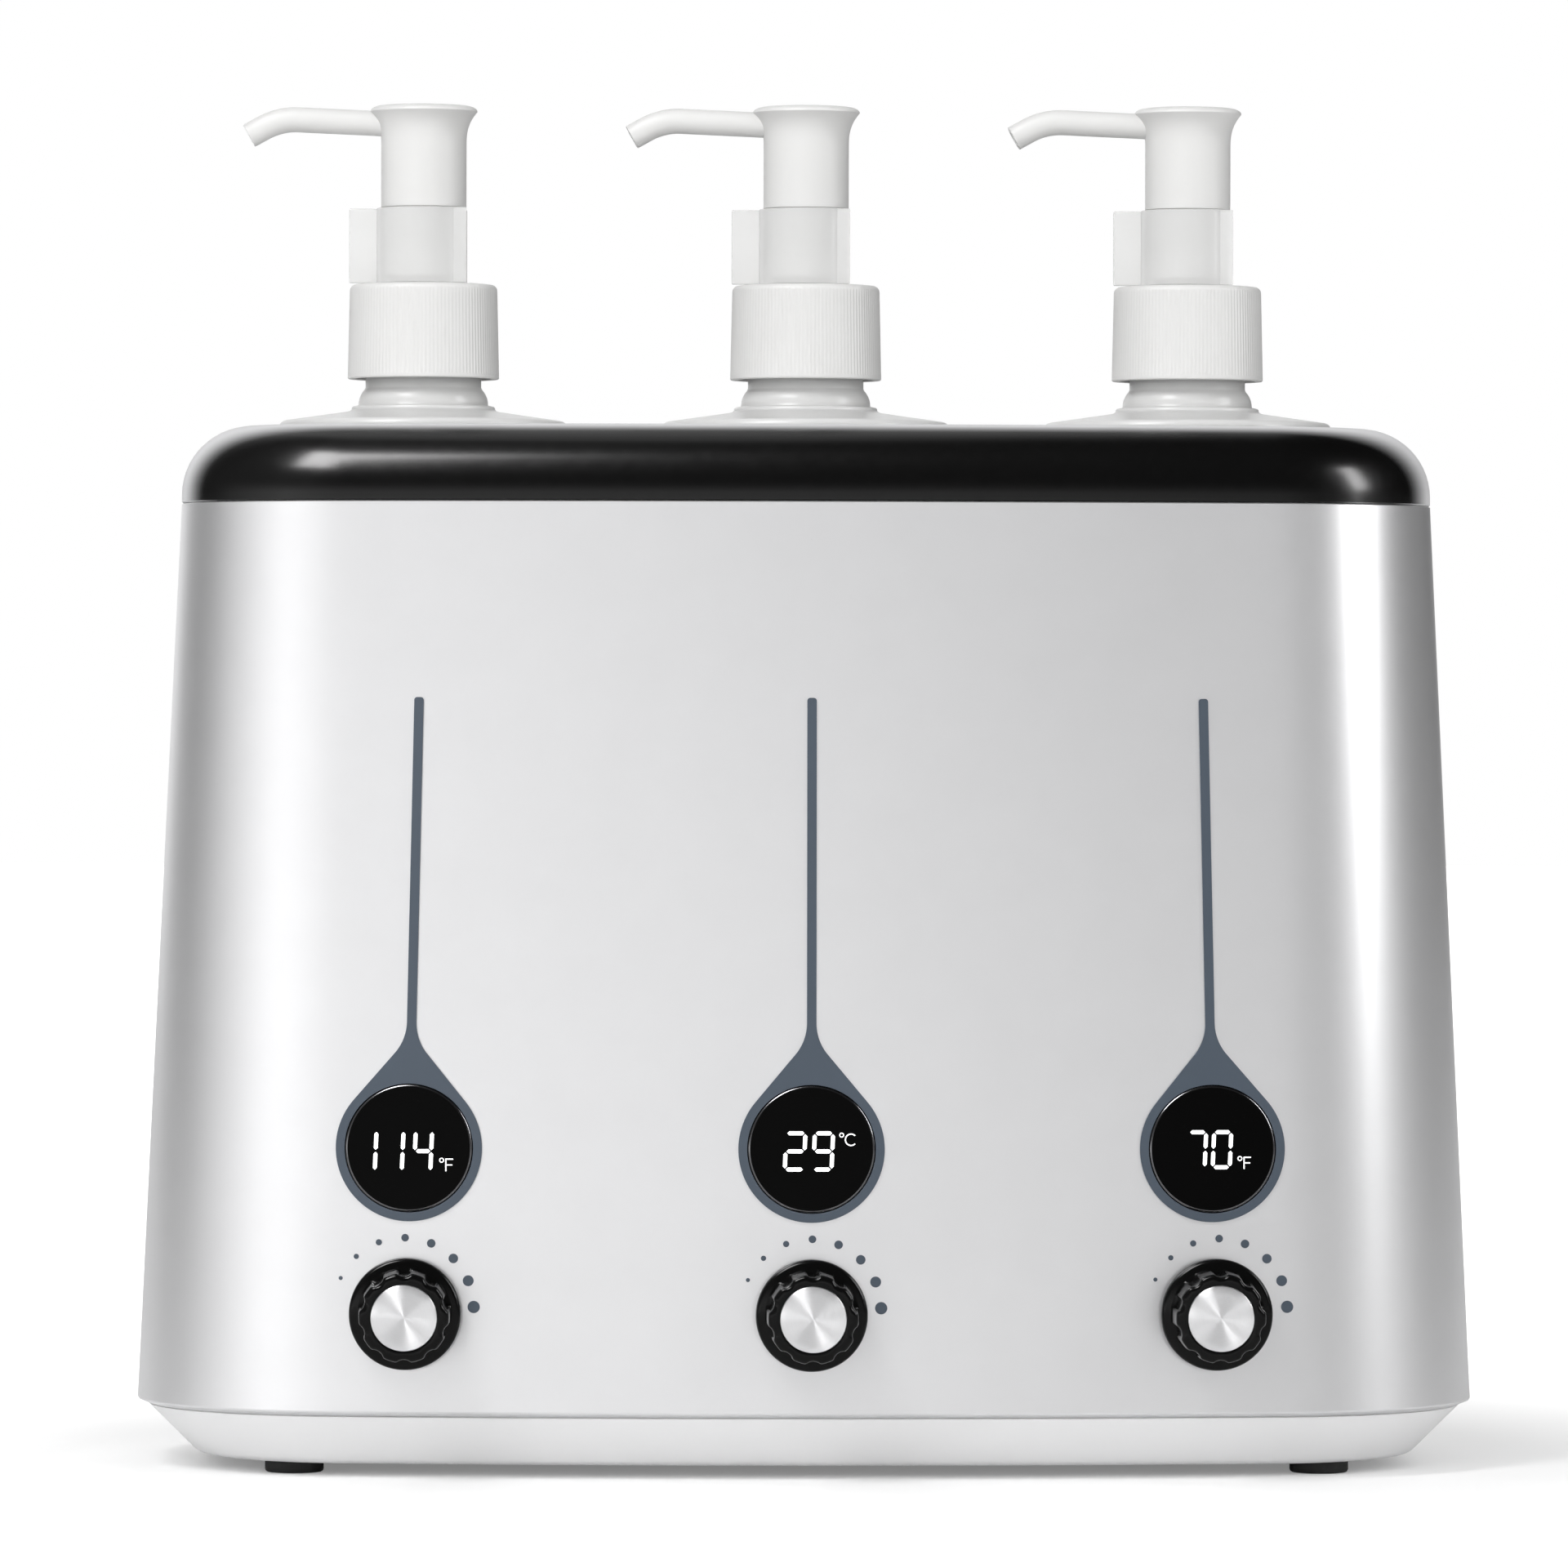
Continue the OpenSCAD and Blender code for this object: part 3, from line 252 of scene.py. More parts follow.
def rod(x, z, r, y0, y1):
    """A round tool along Y, for cutting."""
    piece = turned("tool", [(r, 0), (r, y1 - y0)], around=64)
    return moved(piece, x, y1, z, 90)


def dressed(piece, body, finish, *nodes):
    """Gives a piece its finish, lets it ride on a body and lets it stand for CAD nodes."""
    piece.data.materials.clear()
    piece.data.materials.append(finish)
    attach(piece, body)
    if nodes:
        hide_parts(*nodes)
    print(piece.name, "rides on", body, "with", len(piece.data.polygons), "faces")
    return piece


def one_per_bottle(first, name, body, finish, node):
    """Copies a piece to each bottle's axis, lets the copies ride there and deletes the first."""
    copies = []
    for k, side in enumerate(SIDES):
        piece = moved(copied(first, f"{name}_{side}"), bottle_x(k))
        copies.append(dressed(piece, f"{body}_{side}_body", finish, f"{node}_{side}"))
    bpy.data.objects.remove(first)
    return copies


# %% [markdown]
# ## Finishes
# Every finish is a node material. Its colour varies only a little, and noise at the right scale breaks up
# roughness and surface, as on real mouldings: a fine grain in satin paint, the slight waviness of gloss
# plastic, the frosted look of blown polythene. White plastic has painted shade in its colour where it turns
# away from the camera, standing in for dark studio flags beside the table, or its outline would be lost on the
# white background.

# %% Helpers for finishes
def new_finish(name, colour, roughness=0.4, metallic=0.0, **sockets):
    mat = bpy.data.materials.new(name)
    mat.use_nodes = True
    shader = mat.node_tree.nodes["Principled BSDF"]
    shader.inputs["Base Color"].default_value = (*colour, 1)
    shader.inputs["Roughness"].default_value = roughness
    shader.inputs["Metallic"].default_value = metallic
    for key, value in sockets.items():
        shader.inputs[key.replace("_", " ")].default_value = value
    return mat, mat.node_tree, shader


def noise(tree, scale, detail=2.0, stretch=(1, 1, 1)):
    """Noise on Object coordinates, with its scale in features per metre."""
    where = tree.nodes.new("ShaderNodeTexCoord")
    mapping = tree.nodes.new("ShaderNodeMapping")
    mapping.inputs["Scale"].default_value = stretch
    grain = tree.nodes.new("ShaderNodeTexNoise")
    grain.inputs["Scale"].default_value = scale
    grain.inputs["Detail"].default_value = detail
    tree.links.new(where.outputs["Object"], mapping.inputs["Vector"])
    tree.links.new(mapping.outputs["Vector"], grain.inputs["Vector"])
    return grain.outputs["Fac"]


def ranged(tree, value, low, high, start=0.0, end=1.0):
    """A value that goes from low to high while the given one goes from start to end."""
    scale = tree.nodes.new("ShaderNodeMapRange")
    scale.inputs["From Min"].default_value = start
    scale.inputs["From Max"].default_value = end
    scale.inputs["To Min"].default_value = low
    scale.inputs["To Max"].default_value = high
    tree.links.new(value, scale.inputs["Value"])
    return scale.outputs["Result"]


def bumped(tree, shader, height, strength, distance_mm):
    bump = tree.nodes.new("ShaderNodeBump")
    bump.inputs["Strength"].default_value = strength
    bump.inputs["Distance"].default_value = distance_mm * MM
    tree.links.new(height, bump.inputs["Height"])
    tree.links.new(bump.outputs["Normal"], shader.inputs["Normal"])


def tinted(tree, shader, value, dark, light):
    ramp = tree.nodes.new("ShaderNodeValToRGB")
    ramp.color_ramp.elements[0].color = (*dark, 1)
    ramp.color_ramp.elements[1].color = (*light, 1)
    tree.links.new(value, ramp.inputs["Fac"])
    tree.links.new(ramp.outputs["Color"], shader.inputs["Base Color"])


def grained(name, colour, rough, grain_scale, spread=0.05, bump=0.1, depth=0.02, shade=0.06, **sockets):
    """A finish with fine noise in its roughness, its surface and, slightly, its colour."""
    mat, tree, shader = new_finish(name, colour, rough, **sockets)
    grain = noise(tree, grain_scale)
    tree.links.new(ranged(tree, grain, rough - spread, rough + spread), shader.inputs["Roughness"])
    bumped(tree, shader, grain, bump, depth)
    cloud = noise(tree, grain_scale / 30)
    tinted(tree, shader, cloud, [c * (1 - shade) for c in colour], [min(1, c * (1 + shade)) for c in colour])
    return mat


def painted_edge_shade(mat, dark):
    """Paints shade into a pale finish's colour where it is seen at a low angle, so that its outline shows on
    white.
    """
    tree = mat.node_tree
    colour = tree.nodes["Principled BSDF"].inputs["Base Color"]
    angle = tree.nodes.new("ShaderNodeLayerWeight")
    shade = tree.nodes.new("ShaderNodeMix")
    shade.data_type = "RGBA"
    shade.blend_type = "MULTIPLY"
    shade.inputs[7].default_value = (dark, dark, dark, 1)
    tree.links.new(angle.outputs["Facing"], shade.inputs[0])
    tree.links.new(colour.links[0].from_socket, shade.inputs[6])
    tree.links.new(shade.outputs[2], colour)


# %% Finishes of the visible pieces
silver_paint = grained("satin_silver_paint", (0.82, 0.82, 0.83), 0.31, 2600, spread=0.05, bump=0.06,
                       depth=0.01, shade=0.02, metallic=0.8)
lid_gloss = grained("black_gloss_moulding", (0.002, 0.002, 0.002), 0.23, 400, spread=0.03, bump=0.02,
                    depth=0.02, shade=0.2, Specular_IOR_Level=0.3)
# Painted reflection: a pale diffuse colour is mixed into the lid's edge where it is seen at a low angle, in
# place of the bright background the gloss would mirror there
lid_tree = lid_gloss.node_tree
painted_rim_reflection = lid_tree.nodes.new("ShaderNodeBsdfDiffuse")
painted_rim_reflection.inputs["Color"].default_value = (0.7, 0.7, 0.71, 1)
rim_angle = lid_tree.nodes.new("ShaderNodeLayerWeight")
rim_angle.inputs["Blend"].default_value = 0.5
rim_part = ranged(lid_tree, rim_angle.outputs["Facing"], 0.0, 0.9, start=0.53, end=0.85)
rim_part.node.interpolation_type = "SMOOTHSTEP"
rim_mix = lid_tree.nodes.new("ShaderNodeMixShader")
lid_tree.links.new(rim_part, rim_mix.inputs["Fac"])
lid_tree.links.new(lid_tree.nodes["Principled BSDF"].outputs["BSDF"], rim_mix.inputs[1])
lid_tree.links.new(painted_rim_reflection.outputs["BSDF"], rim_mix.inputs[2])
lid_tree.links.new(rim_mix.outputs["Shader"], lid_tree.nodes["Material Output"].inputs["Surface"])
knob_gloss = grained("black_knob_moulding", (0.003, 0.003, 0.003), 0.16, 900, spread=0.03, bump=0.03,
                     depth=0.01, shade=0.2, Specular_IOR_Level=0.14)
window_gloss = grained("black_window", (0.001, 0.001, 0.001), 0.06, 300, spread=0.02, bump=0.01,
                       depth=0.01, shade=0.2, Specular_IOR_Level=0.03)
bevel_shine = grained("polished_bevel", (0.13, 0.13, 0.135), 0.16, 600, spread=0.03, bump=0.02, depth=0.01,
                      shade=0.1, metallic=1.0)
base_white = grained("white_base_moulding", (0.95, 0.95, 0.955), 0.42, 1800, bump=0.08, shade=0.015)
pump_white = grained("white_pump_moulding", (0.78, 0.778, 0.77), 0.4, 1500, bump=0.03, shade=0.015,
                     Specular_IOR_Level=0.15,
                     Subsurface_Weight=0.15, Subsurface_Scale=0.002, Subsurface_Radius=(1, 1, 1))
bottle_milk = grained("milky_bottle", (0.73, 0.73, 0.725), 0.3, 900, bump=0.01, shade=0.02,
                      Specular_IOR_Level=0.25,
                      Subsurface_Weight=0.5, Subsurface_Scale=0.004, Subsurface_Radius=(1, 1, 1))
# Painted shade: the pump and bottle colours darken where they are seen at a low angle
painted_edge_shade(pump_white, 0.8)
painted_edge_shade(bottle_milk, 0.8)
slate_print = grained("slate_trim", (0.058, 0.078, 0.106), 0.45, 2200, bump=0.05, shade=0.05)
foot_rubber = grained("black_foot_rubber", (0.012, 0.012, 0.012), 0.7, 1600, bump=0.25, shade=0.2)
clip_clear, clip_tree, clip_shader = new_finish("clear_clip", (0.86, 0.86, 0.855), 0.2, Alpha=0.62,
                                                Specular_IOR_Level=0.3)
clip_tree.links.new(ranged(clip_tree, noise(clip_tree, 500), 0.08, 0.18), clip_shader.inputs["Roughness"])
digit_glow, glow_tree, glow_shader = new_finish("lit_segments", (0.9, 0.9, 0.9), 0.5, Emission_Strength=0.9)
tinted(glow_tree, glow_shader, noise(glow_tree, 800), (0.88, 0.89, 0.9), (0.92, 0.92, 0.92))
glow_shader.inputs["Emission Color"].default_value = (1, 1, 1, 1)

# The cap's grooves run round its middle, so its shine spreads across them
spun_metal, spun_tree, spun_shader = new_finish("spun_cap", (0.86, 0.86, 0.87), 0.34, 1.0, Anisotropic=0.9,
                                                Anisotropic_Rotation=0.25)
around_axis = spun_tree.nodes.new("ShaderNodeTangent")
around_axis.direction_type = "RADIAL"
around_axis.axis = "Y"
spun_tree.links.new(around_axis.outputs["Tangent"], spun_shader.inputs["Tangent"])
disc_place = spun_tree.nodes.new("ShaderNodeUVMap")
disc_place.uv_map = "disc"
disc_radius = spun_tree.nodes.new("ShaderNodeVectorMath")
disc_radius.operation = "LENGTH"
spun_tree.links.new(disc_place.outputs["UV"], disc_radius.inputs[0])
grooves = spun_tree.nodes.new("ShaderNodeTexNoise")
grooves.noise_dimensions = "1D"
grooves.inputs["Scale"].default_value = 60
spun_tree.links.new(disc_radius.outputs["Value"], grooves.inputs["W"])
spun_tree.links.new(ranged(spun_tree, grooves.outputs["Fac"], 0.26, 0.42), spun_shader.inputs["Roughness"])
tinted(spun_tree, spun_shader, grooves.outputs["Fac"], (0.78, 0.78, 0.79), (0.92, 0.92, 0.93))
print("finishes:", len(bpy.data.materials))

# %% [markdown]
# ## The camera
# The photograph is a long-lens product shot from a little left of the middle, at a little over half the
# object's height. The camera is turned towards the object and not shifted.

# %% Camera at the photograph's angle
CAMERA_AT = (-0.0519, -2.0122, 0.1572)
CAMERA_YAW, CAMERA_PITCH, CAMERA_ROLL = 1.353, -0.413, 0.137
LENS_MM = 218.8

yaw, pitch = math.radians(CAMERA_YAW), math.radians(CAMERA_PITCH)
look = Vector((math.sin(yaw) * math.cos(pitch), math.cos(yaw) * math.cos(pitch), math.sin(pitch)))
start_fresh()
bpy.ops.object.camera_add(location=CAMERA_AT)
camera = bpy.context.object
camera.rotation_mode = "QUATERNION"
camera.rotation_quaternion = look.to_track_quat("-Z", "Y") @ Quaternion((0, 0, 1), math.radians(CAMERA_ROLL))
camera.data.lens = LENS_MM
camera.data.sensor_width = 36
camera.data.clip_end = 50
bpy.context.scene.camera = camera
print("camera looks along", tuple(round(c, 4) for c in look))

# %% [markdown]
# ## The outer shell
# The shell is a thin leaning wall with a small bevel at its lower edge. One loft goes up the outside, over
# the top edge and down the inside, and the last ring meets the first, so the wall is closed. A low round boss
# for each knob is joined on. The windows, the control bushes and the power inlet are then cut through it.

# %% Shell
SHELL_WALL, SHELL_BEVEL_W, SHELL_BEVEL_H = 2.5, 2.2, 0.9
EDGE = 0.25
z_wall = Z_SEAM + SHELL_BEVEL_H + EDGE
wall_h = Z_LID - 2 * EDGE - Z_SEAM - SHELL_BEVEL_H
shell_levels = [z_wall + wall_h * k / 12 for k in range(13)]
shell_profile = [(SHELL_BEVEL_W, Z_SEAM), (0.25, Z_SEAM + SHELL_BEVEL_H - 0.12)]
shell_profile += [(inset_at(z), z) for z in shell_levels]
shell_profile += [(inset_at(Z_LID) + EDGE, Z_LID - 0.05), (inset_at(Z_LID) + SHELL_WALL, Z_LID - 0.05),
                  (inset_at(Z_SEAM) + SHELL_WALL, Z_SEAM), (SHELL_BEVEL_W, Z_SEAM)]
shell = plan_loft("shell_cover", shell_profile, cap_start=False, cap_end=False, smooth=25)
LENS_R, FIT, BUSH_R = 13.0, 0.2, 3.5
KNOB_BACK = (-60.35, -64.688, -60.35)
BOSS_R, BOSS_GAP = 9.5, 0.3
for k in range(3):
    boss_root = front_y(channel_x(k, KNOB_Z), KNOB_Z) + 1.6
    boss_h = boss_root - KNOB_BACK[k] - BOSS_GAP
    boss = turned("tool", [(BOSS_R, 0), (BOSS_R, boss_h - EDGE), (BOSS_R - EDGE, boss_h)], around=96)
    combined(shell, moved(boss, channel_x(k, KNOB_Z), boss_root, KNOB_Z, 90), "UNION", smooth=25)
    for z, r in ((DISPLAY_Z, LENS_R), (KNOB_Z, BUSH_R)):
        combined(shell, rod(channel_x(k, z), z, r + FIT, -HALF_D - 5, -HALF_D / 2), smooth=25)
INLET_Z, INLET_W, INLET_H = 26.0, 21.0, 12.0
start_fresh()
bpy.ops.mesh.primitive_cube_add(size=1, location=(0, HALF_D * MM, INLET_Z * MM))
opening = bpy.context.object
opening.scale = ((INLET_W + 2 * FIT) * MM, 0.03, (INLET_H + 2 * FIT) * MM)
combined(shell, opening, smooth=25)
dressed(shell, "warmer", silver_paint, "outer_shell")

# %% [markdown]
# ## The lid and the base pan
# The lid is a gloss black moulding with a large rounded edge and three holes for the bottles. The base pan is
# a white tray with a chamfer that runs back under the shell. Both are lofts of the same plan.

# %% Lid
LID_WALL = 2.6
lid_in = inset_at(Z_LID)
z_arc = Z_TOP - LID_EDGE_R
arc = [math.radians(90 * k / 14) for k in range(15)]
lid_profile = [(lid_in + LID_EDGE_R - (LID_EDGE_R - LID_WALL) * math.cos(a),
                z_arc + (LID_EDGE_R - LID_WALL) * math.sin(a)) for a in reversed(arc)]
lid_profile += [(lid_in + LID_WALL, Z_LID + 0.05), (lid_in + EDGE, Z_LID + 0.05),
                (lid_in, Z_LID + 0.05 + EDGE)]
lid_profile += [(lid_in + LID_EDGE_R * (1 - math.cos(a)), z_arc + LID_EDGE_R * math.sin(a)) for a in arc]
lid = plan_loft("lid_cover", lid_profile, smooth=40)
for k in range(3):
    hole = turned("tool", [(WELL_R, Z_LID), (WELL_R, Z_TOP + 5)], around=128)
    combined(lid, moved(hole, bottle_x(k)), smooth=40)
dressed(lid, "warmer", lid_gloss, "top_lid")

# %% Base pan
BASE_H, BASE_ROUND_H, BASE_WALL = 10.7, 1.3, 3.3
POST_X, POST_Y, SCREW_HEAD_R = 110.0, 17.0, 3.2
chamfer_in = SHELL_BEVEL_W + BASE_H - BASE_ROUND_H
round_r = BASE_ROUND_H / (1 - math.cos(math.pi / 4))
base_profile = [(chamfer_in + round_r * (math.sin(math.pi / 4) - math.sin(a)),
                 Z_BASE + round_r * (1 - math.cos(a)))
                for a in [math.radians(45 * k / 6) for k in range(7)]]
base_profile += [(SHELL_BEVEL_W + EDGE, Z_SEAM - 0.05 - EDGE), (SHELL_BEVEL_W + 2 * EDGE, Z_SEAM - 0.05),
                 (SHELL_BEVEL_W + BASE_WALL, Z_SEAM - 0.05),
                 (SHELL_BEVEL_W + BASE_WALL + BASE_H - 2.2, Z_FLOOR)]
base = plan_loft("base_tray", base_profile, smooth=30)
for sx in (-1, 1):
    for sy in (-1, 1):
        hole = turned("tool", [(SCREW_HEAD_R, Z_BASE - 1), (SCREW_HEAD_R, Z_BASE + 2.1)], around=48)
        combined(base, moved(hole, sx * POST_X, sy * POST_Y), smooth=30)
dressed(base, "warmer", base_white, "base_pan")

# %% [markdown]
# ## The feet
# Four black rubber discs with a rounded lower edge and a slight hollow underneath. One is turned, copied to
# the four corners and joined into one piece.

# %% Feet
FOOT_X, FOOT_Y, FOOT_R, FOOT_H = 106.5, 33.0, 6.1, 2.5
foot_profile = [(FOOT_R - 2.2, 0.35), (FOOT_R - 1.6, 0.08), (FOOT_R - 1.0, 0.0), (FOOT_R - 0.5, 0.06),
                (FOOT_R - 0.15, 0.28), (FOOT_R, 0.7), (FOOT_R, FOOT_H - 0.02)]
first_foot = turned("foot", foot_profile, around=64)
feet = [moved(copied(first_foot, f"foot_{sx}_{sy}"), sx * FOOT_X, sy * FOOT_Y)
        for sx in (-1, 1) for sy in (-1, 1)]
bpy.data.objects.remove(first_foot)
dressed(joined(feet, "rubber_foot_set"), "warmer", foot_rubber, "rubber_feet")

# %% [markdown]
# ## Drop-shaped trims, windows and dots
# Each channel has a slate trim in the form of a drop with a long stem. It is drawn flat, cut into narrow
# strips with bisect so that it can follow the bowed front, given its thickness, and laid on the shell. The
# windows are black glossy discs with a polished bevel, and the dots beside the knobs are thin prints that
# grow from left to right.

# %% Laying flat pieces on the bowed front
def laid_on_front(piece):
    """Moves each point from the plane y = 0 to the shell's front. Negative y is in front of it."""
    for v in piece.data.vertices:
        v.co.y += front_y(v.co.x / MM, v.co.z / MM) * MM
    return piece


def flat_plate(name, outline, thickness, lift, strips=(), smooth=25.0):
    """A plate from (x, z) points in millimetres, with its back at lift in front of the plane y = 0."""
    start_fresh()
    bpy.ops.mesh.primitive_circle_add(vertices=len(outline), radius=1, fill_type="NGON", enter_editmode=True)
    piece = bpy.context.object
    bm = bmesh.from_edit_mesh(piece.data)
    for v, (x, z) in zip(sorted(bm.verts, key=lambda v: v.index), outline):
        v.co = (x * MM, -lift * MM, z * MM)
    bmesh.update_edit_mesh(piece.data)
    for x in strips:
        bpy.ops.mesh.select_all(action="SELECT")
        bpy.ops.mesh.bisect(plane_co=(x * MM, 0, 0), plane_no=(1, 0, 0))
    bpy.ops.mesh.select_all(action="SELECT")
    bpy.ops.mesh.extrude_region_move(TRANSFORM_OT_translate={"value": (0, -thickness * MM, 0)})
    return end_modelling(piece, name, smooth)


def leaned(points, k, z_pivot):
    """Turns (x, z) points about a channel's point by the lean of its trim, and carries them there."""
    a = (k - 1) * CHANNEL_LEAN
    x0 = channel_x(k, z_pivot)
    c, s = math.cos(a), math.sin(a)
    return [(x0 + x * c - z * s, z_pivot + x * s + z * c) for x, z in points]


# %% Trims
TRIM_R, STEM_W, SIDE_A, CURVE_R, STEM_END_R = 15.0, 1.93, math.radians(40), 10.0, 0.6
TRIM_T, SEAT = 0.35, 0.05


def drop_outline():
    w, top = STEM_W / 2, TRIM_TOP_Z - DISPLAY_Z
    curve_x = w + CURVE_R
    curve_y = (TRIM_R + CURVE_R - math.cos(SIDE_A) * curve_x) / math.sin(SIDE_A)
    half = [(0, top)]
    half += [(w - STEM_END_R * (1 - math.sin(a)), top - STEM_END_R * (1 - math.cos(a)))
             for a in [math.radians(22.5 * k) for k in range(5)]]
    half += [(curve_x + CURVE_R * math.cos(a), curve_y + CURVE_R * math.sin(a))
             for a in [math.pi + SIDE_A * k / 12 for k in range(13)]]
    half += [(TRIM_R * math.cos(a), TRIM_R * math.sin(a))
             for a in [SIDE_A - (math.pi / 2 + SIDE_A) * k / 40 for k in range(41)]]
    return half + [(-x, z) for x, z in half[-2:0:-1]]


for k, side in enumerate(SIDES):
    x0 = channel_x(k, DISPLAY_Z)
    plate = flat_plate(f"drop_plate_{side}", leaned(drop_outline(), k, DISPLAY_Z), TRIM_T, SEAT,
                       strips=[x0 + 2.5 * s for s in range(-6, 7)])
    window_hole = rod(x0, DISPLAY_Z, LENS_R + FIT, -5, 5)
    combined(plate, window_hole, smooth=25)
    dressed(laid_on_front(plate), "warmer", slate_print, f"drop_trim_{side}")

# %% Windows
LENS_FLANGE_R, LENS_BACK, LENS_FLANGE_BACK = 14.4, -4.6, -2.55
LENS_RISE, BEVEL_W = SEAT + TRIM_T + 0.15, 0.4
lens_profile = [(LENS_FLANGE_R, LENS_BACK), (LENS_FLANGE_R, LENS_FLANGE_BACK), (LENS_R, LENS_FLANGE_BACK),
                (LENS_R, LENS_RISE - 0.5), (LENS_R - BEVEL_W, LENS_RISE - 0.5), (LENS_R - BEVEL_W, LENS_RISE),
                (9, LENS_RISE), (6, LENS_RISE), (3, LENS_RISE), (1, LENS_RISE)]
bevel_profile = [(LENS_R - BEVEL_W, LENS_RISE - 0.5), (LENS_R, LENS_RISE - 0.5), (LENS_R, LENS_RISE - 0.25),
                 (LENS_R - 0.06, LENS_RISE - 0.14), (LENS_R - BEVEL_W + 0.1, LENS_RISE - 0.01),
                 (LENS_R - BEVEL_W, LENS_RISE), (LENS_R - BEVEL_W, LENS_RISE - 0.5)]
lenses, bevels = [], []
for k in range(3):
    place = (channel_x(k, DISPLAY_Z), 0, DISPLAY_Z, 90)
    lens = moved(turned(f"window_{SIDES[k]}", lens_profile, around=128, smooth=20), *place)
    lenses.append(laid_on_front(lens))
    bevel = turned(f"bevel_{SIDES[k]}", bevel_profile, around=128, cap_start=False, cap_end=False, smooth=40)
    bevels.append(laid_on_front(moved(bevel, *place)))
dressed(joined(lenses, "display_windows"), "warmer", window_gloss, "display_lenses")
dressed(joined(bevels, "window_bevels"), "warmer", bevel_shine)

# %% Dots round the knobs
DOT_RING_R, DOT_FIRST, DOT_STEP = 14.3, math.radians(155.4), math.radians(22.07)
DOT_RADII = (0.42, 0.54, 0.64, 0.78, 0.88, 0.98, 1.12, 1.26)
DOT_SHIFT, DOT_Z = (-0.22, 0.0, 0.5), KNOB_Z + 1.13
dots = []
for k in range(3):
    for n, r in enumerate(DOT_RADII):
        a = DOT_FIRST - n * DOT_STEP
        x = channel_x(k, KNOB_Z) + DOT_SHIFT[k] + DOT_RING_R * math.cos(a)
        z = DOT_Z + DOT_RING_R * math.sin(a)
        round_points = [(x + r * math.cos(2 * math.pi * j / 24), z + r * math.sin(2 * math.pi * j / 24))
                        for j in range(24)]
        dots.append(laid_on_front(flat_plate(f"dot_{k}_{n}", round_points, 0.08, 0.02)))
dressed(joined(dots, "knob_dots"), "warmer", slate_print)

# %% [markdown]
# ## Lit digits
# The displays show seven-segment digits behind the black window, with a small unit beside them. Each segment
# is a hexagonal bar. The digits lean a little to the right, as on common display modules.

# %% Digits and units
SEGMENTS = {"0": "abcdef", "1": "bc", "2": "abged", "4": "fgbc", "7": "abc", "9": "abcdfg"}
SLANT = math.tan(math.radians(2.5))
GLOW_LIFT, GLOW_T = LENS_RISE + 0.02, 0.05


def bar(x0, z0, x1, z1, w):
    """A segment with pointed ends between two points, as (x, z) points."""
    along = Vector((x1 - x0, z1 - z0)).normalized()
    side = Vector((-along.y, along.x)) * w / 2
    tip = along * w / 2
    a, b = Vector((x0, z0)), Vector((x1, z1))
    return [a, a + tip - side, b - tip - side, b, b - tip + side, a + tip + side]


def digit_bars(symbol, x, z, width, height, w):
    """Bars of one digit whose lower left corner is at (x, z)."""
    gap = 0.2
    h = height / 2
    ends = {"a": (0, height, width, height), "b": (width, h, width, height), "c": (width, 0, width, h),
            "d": (0, 0, width, 0), "e": (0, 0, 0, h), "f": (0, h, 0, height), "g": (0, h, width, h)}
    bars = []
    for s in SEGMENTS[symbol]:
        x0, z0, x1, z1 = ends[s]
        dx, dz = (gap, 0) if z0 == z1 else (0, gap)
        bars.append([(x + p[0] + p[1] * SLANT, z + p[1])
                     for p in bar(x0 + dx, z0 + dz, x1 - dx, z1 - dz, w)])
    return bars


def ring_bars(x, z, r, w, start=0, end=360, steps=10):
    """Short flat pieces that make a ring or an arc."""
    bars = []
    for n in range(steps):
        a0, a1 = (math.radians(start + (end - start) * (n + d) / steps) for d in (0, 1))
        bars.append([(x + (r + s * w / 2) * math.cos(a), z + (r + s * w / 2) * math.sin(a))
                     for a, s in ((a0, 1), (a1, 1), (a1, -1), (a0, -1))])
    return bars


def block(x0, z0, x1, z1):
    return [(x0, z0), (x1, z0), (x1, z1), (x0, z1)]


def unit_bars(letter, x, z, height):
    """Degree sign and the letter F or C, with the letter's lower left corner at (x, z)."""
    w = 0.24
    bars = ring_bars(x - 0.75, z + height - 0.35, 0.42, 0.2)
    if letter == "F":
        top, arm = z + height, z + 0.45 * height
        return bars + [block(x, z, x + w, top), block(x + w, top - w, x + 0.62 * height, top),
                       block(x + w, arm, x + 0.56 * height, arm + w)]
    r = height / 2 - w / 2
    return bars + ring_bars(x + r, z + r + w / 2, r, w, 45, 315, 12)


def lit_piece(name, shapes):
    plates = [laid_on_front(flat_plate(f"{name}_{n}", shape, GLOW_T, GLOW_LIFT, smooth=0))
              for n, shape in enumerate(shapes)]
    return dressed(joined(plates, name), "warmer", digit_glow)


SEGMENT_W = 0.82
centre = [channel_x(k, DISPLAY_Z) for k in range(3)]
left_bars = digit_bars("1", centre[0] - 9.67, DISPLAY_Z - 4.68, 2.7, 8.14, SEGMENT_W)
left_bars += digit_bars("1", centre[0] - 4.12, DISPLAY_Z - 4.68, 2.7, 8.14, SEGMENT_W)
left_bars += digit_bars("4", centre[0] + 1.09, DISPLAY_Z - 4.68, 3.35, 8.14, SEGMENT_W)
left_bars += unit_bars("F", centre[0] + 7.5, DISPLAY_Z - 4.7, 2.6)
middle_bars = digit_bars("2", centre[1] - 5.5, DISPLAY_Z - 4.09, 3.9, 7.4, SEGMENT_W)
middle_bars += digit_bars("9", centre[1] + 0.33, DISPLAY_Z - 4.09, 3.75, 7.4, SEGMENT_W)
middle_bars += unit_bars("C", centre[1] + 6.9, DISPLAY_Z + 0.7, 2.6)
right_bars = digit_bars("7", centre[2] - 5.15, DISPLAY_Z - 3.73, 3.5, 7.2, SEGMENT_W)
right_bars += digit_bars("0", centre[2] + 0.0, DISPLAY_Z - 3.73, 3.55, 7.2, SEGMENT_W)
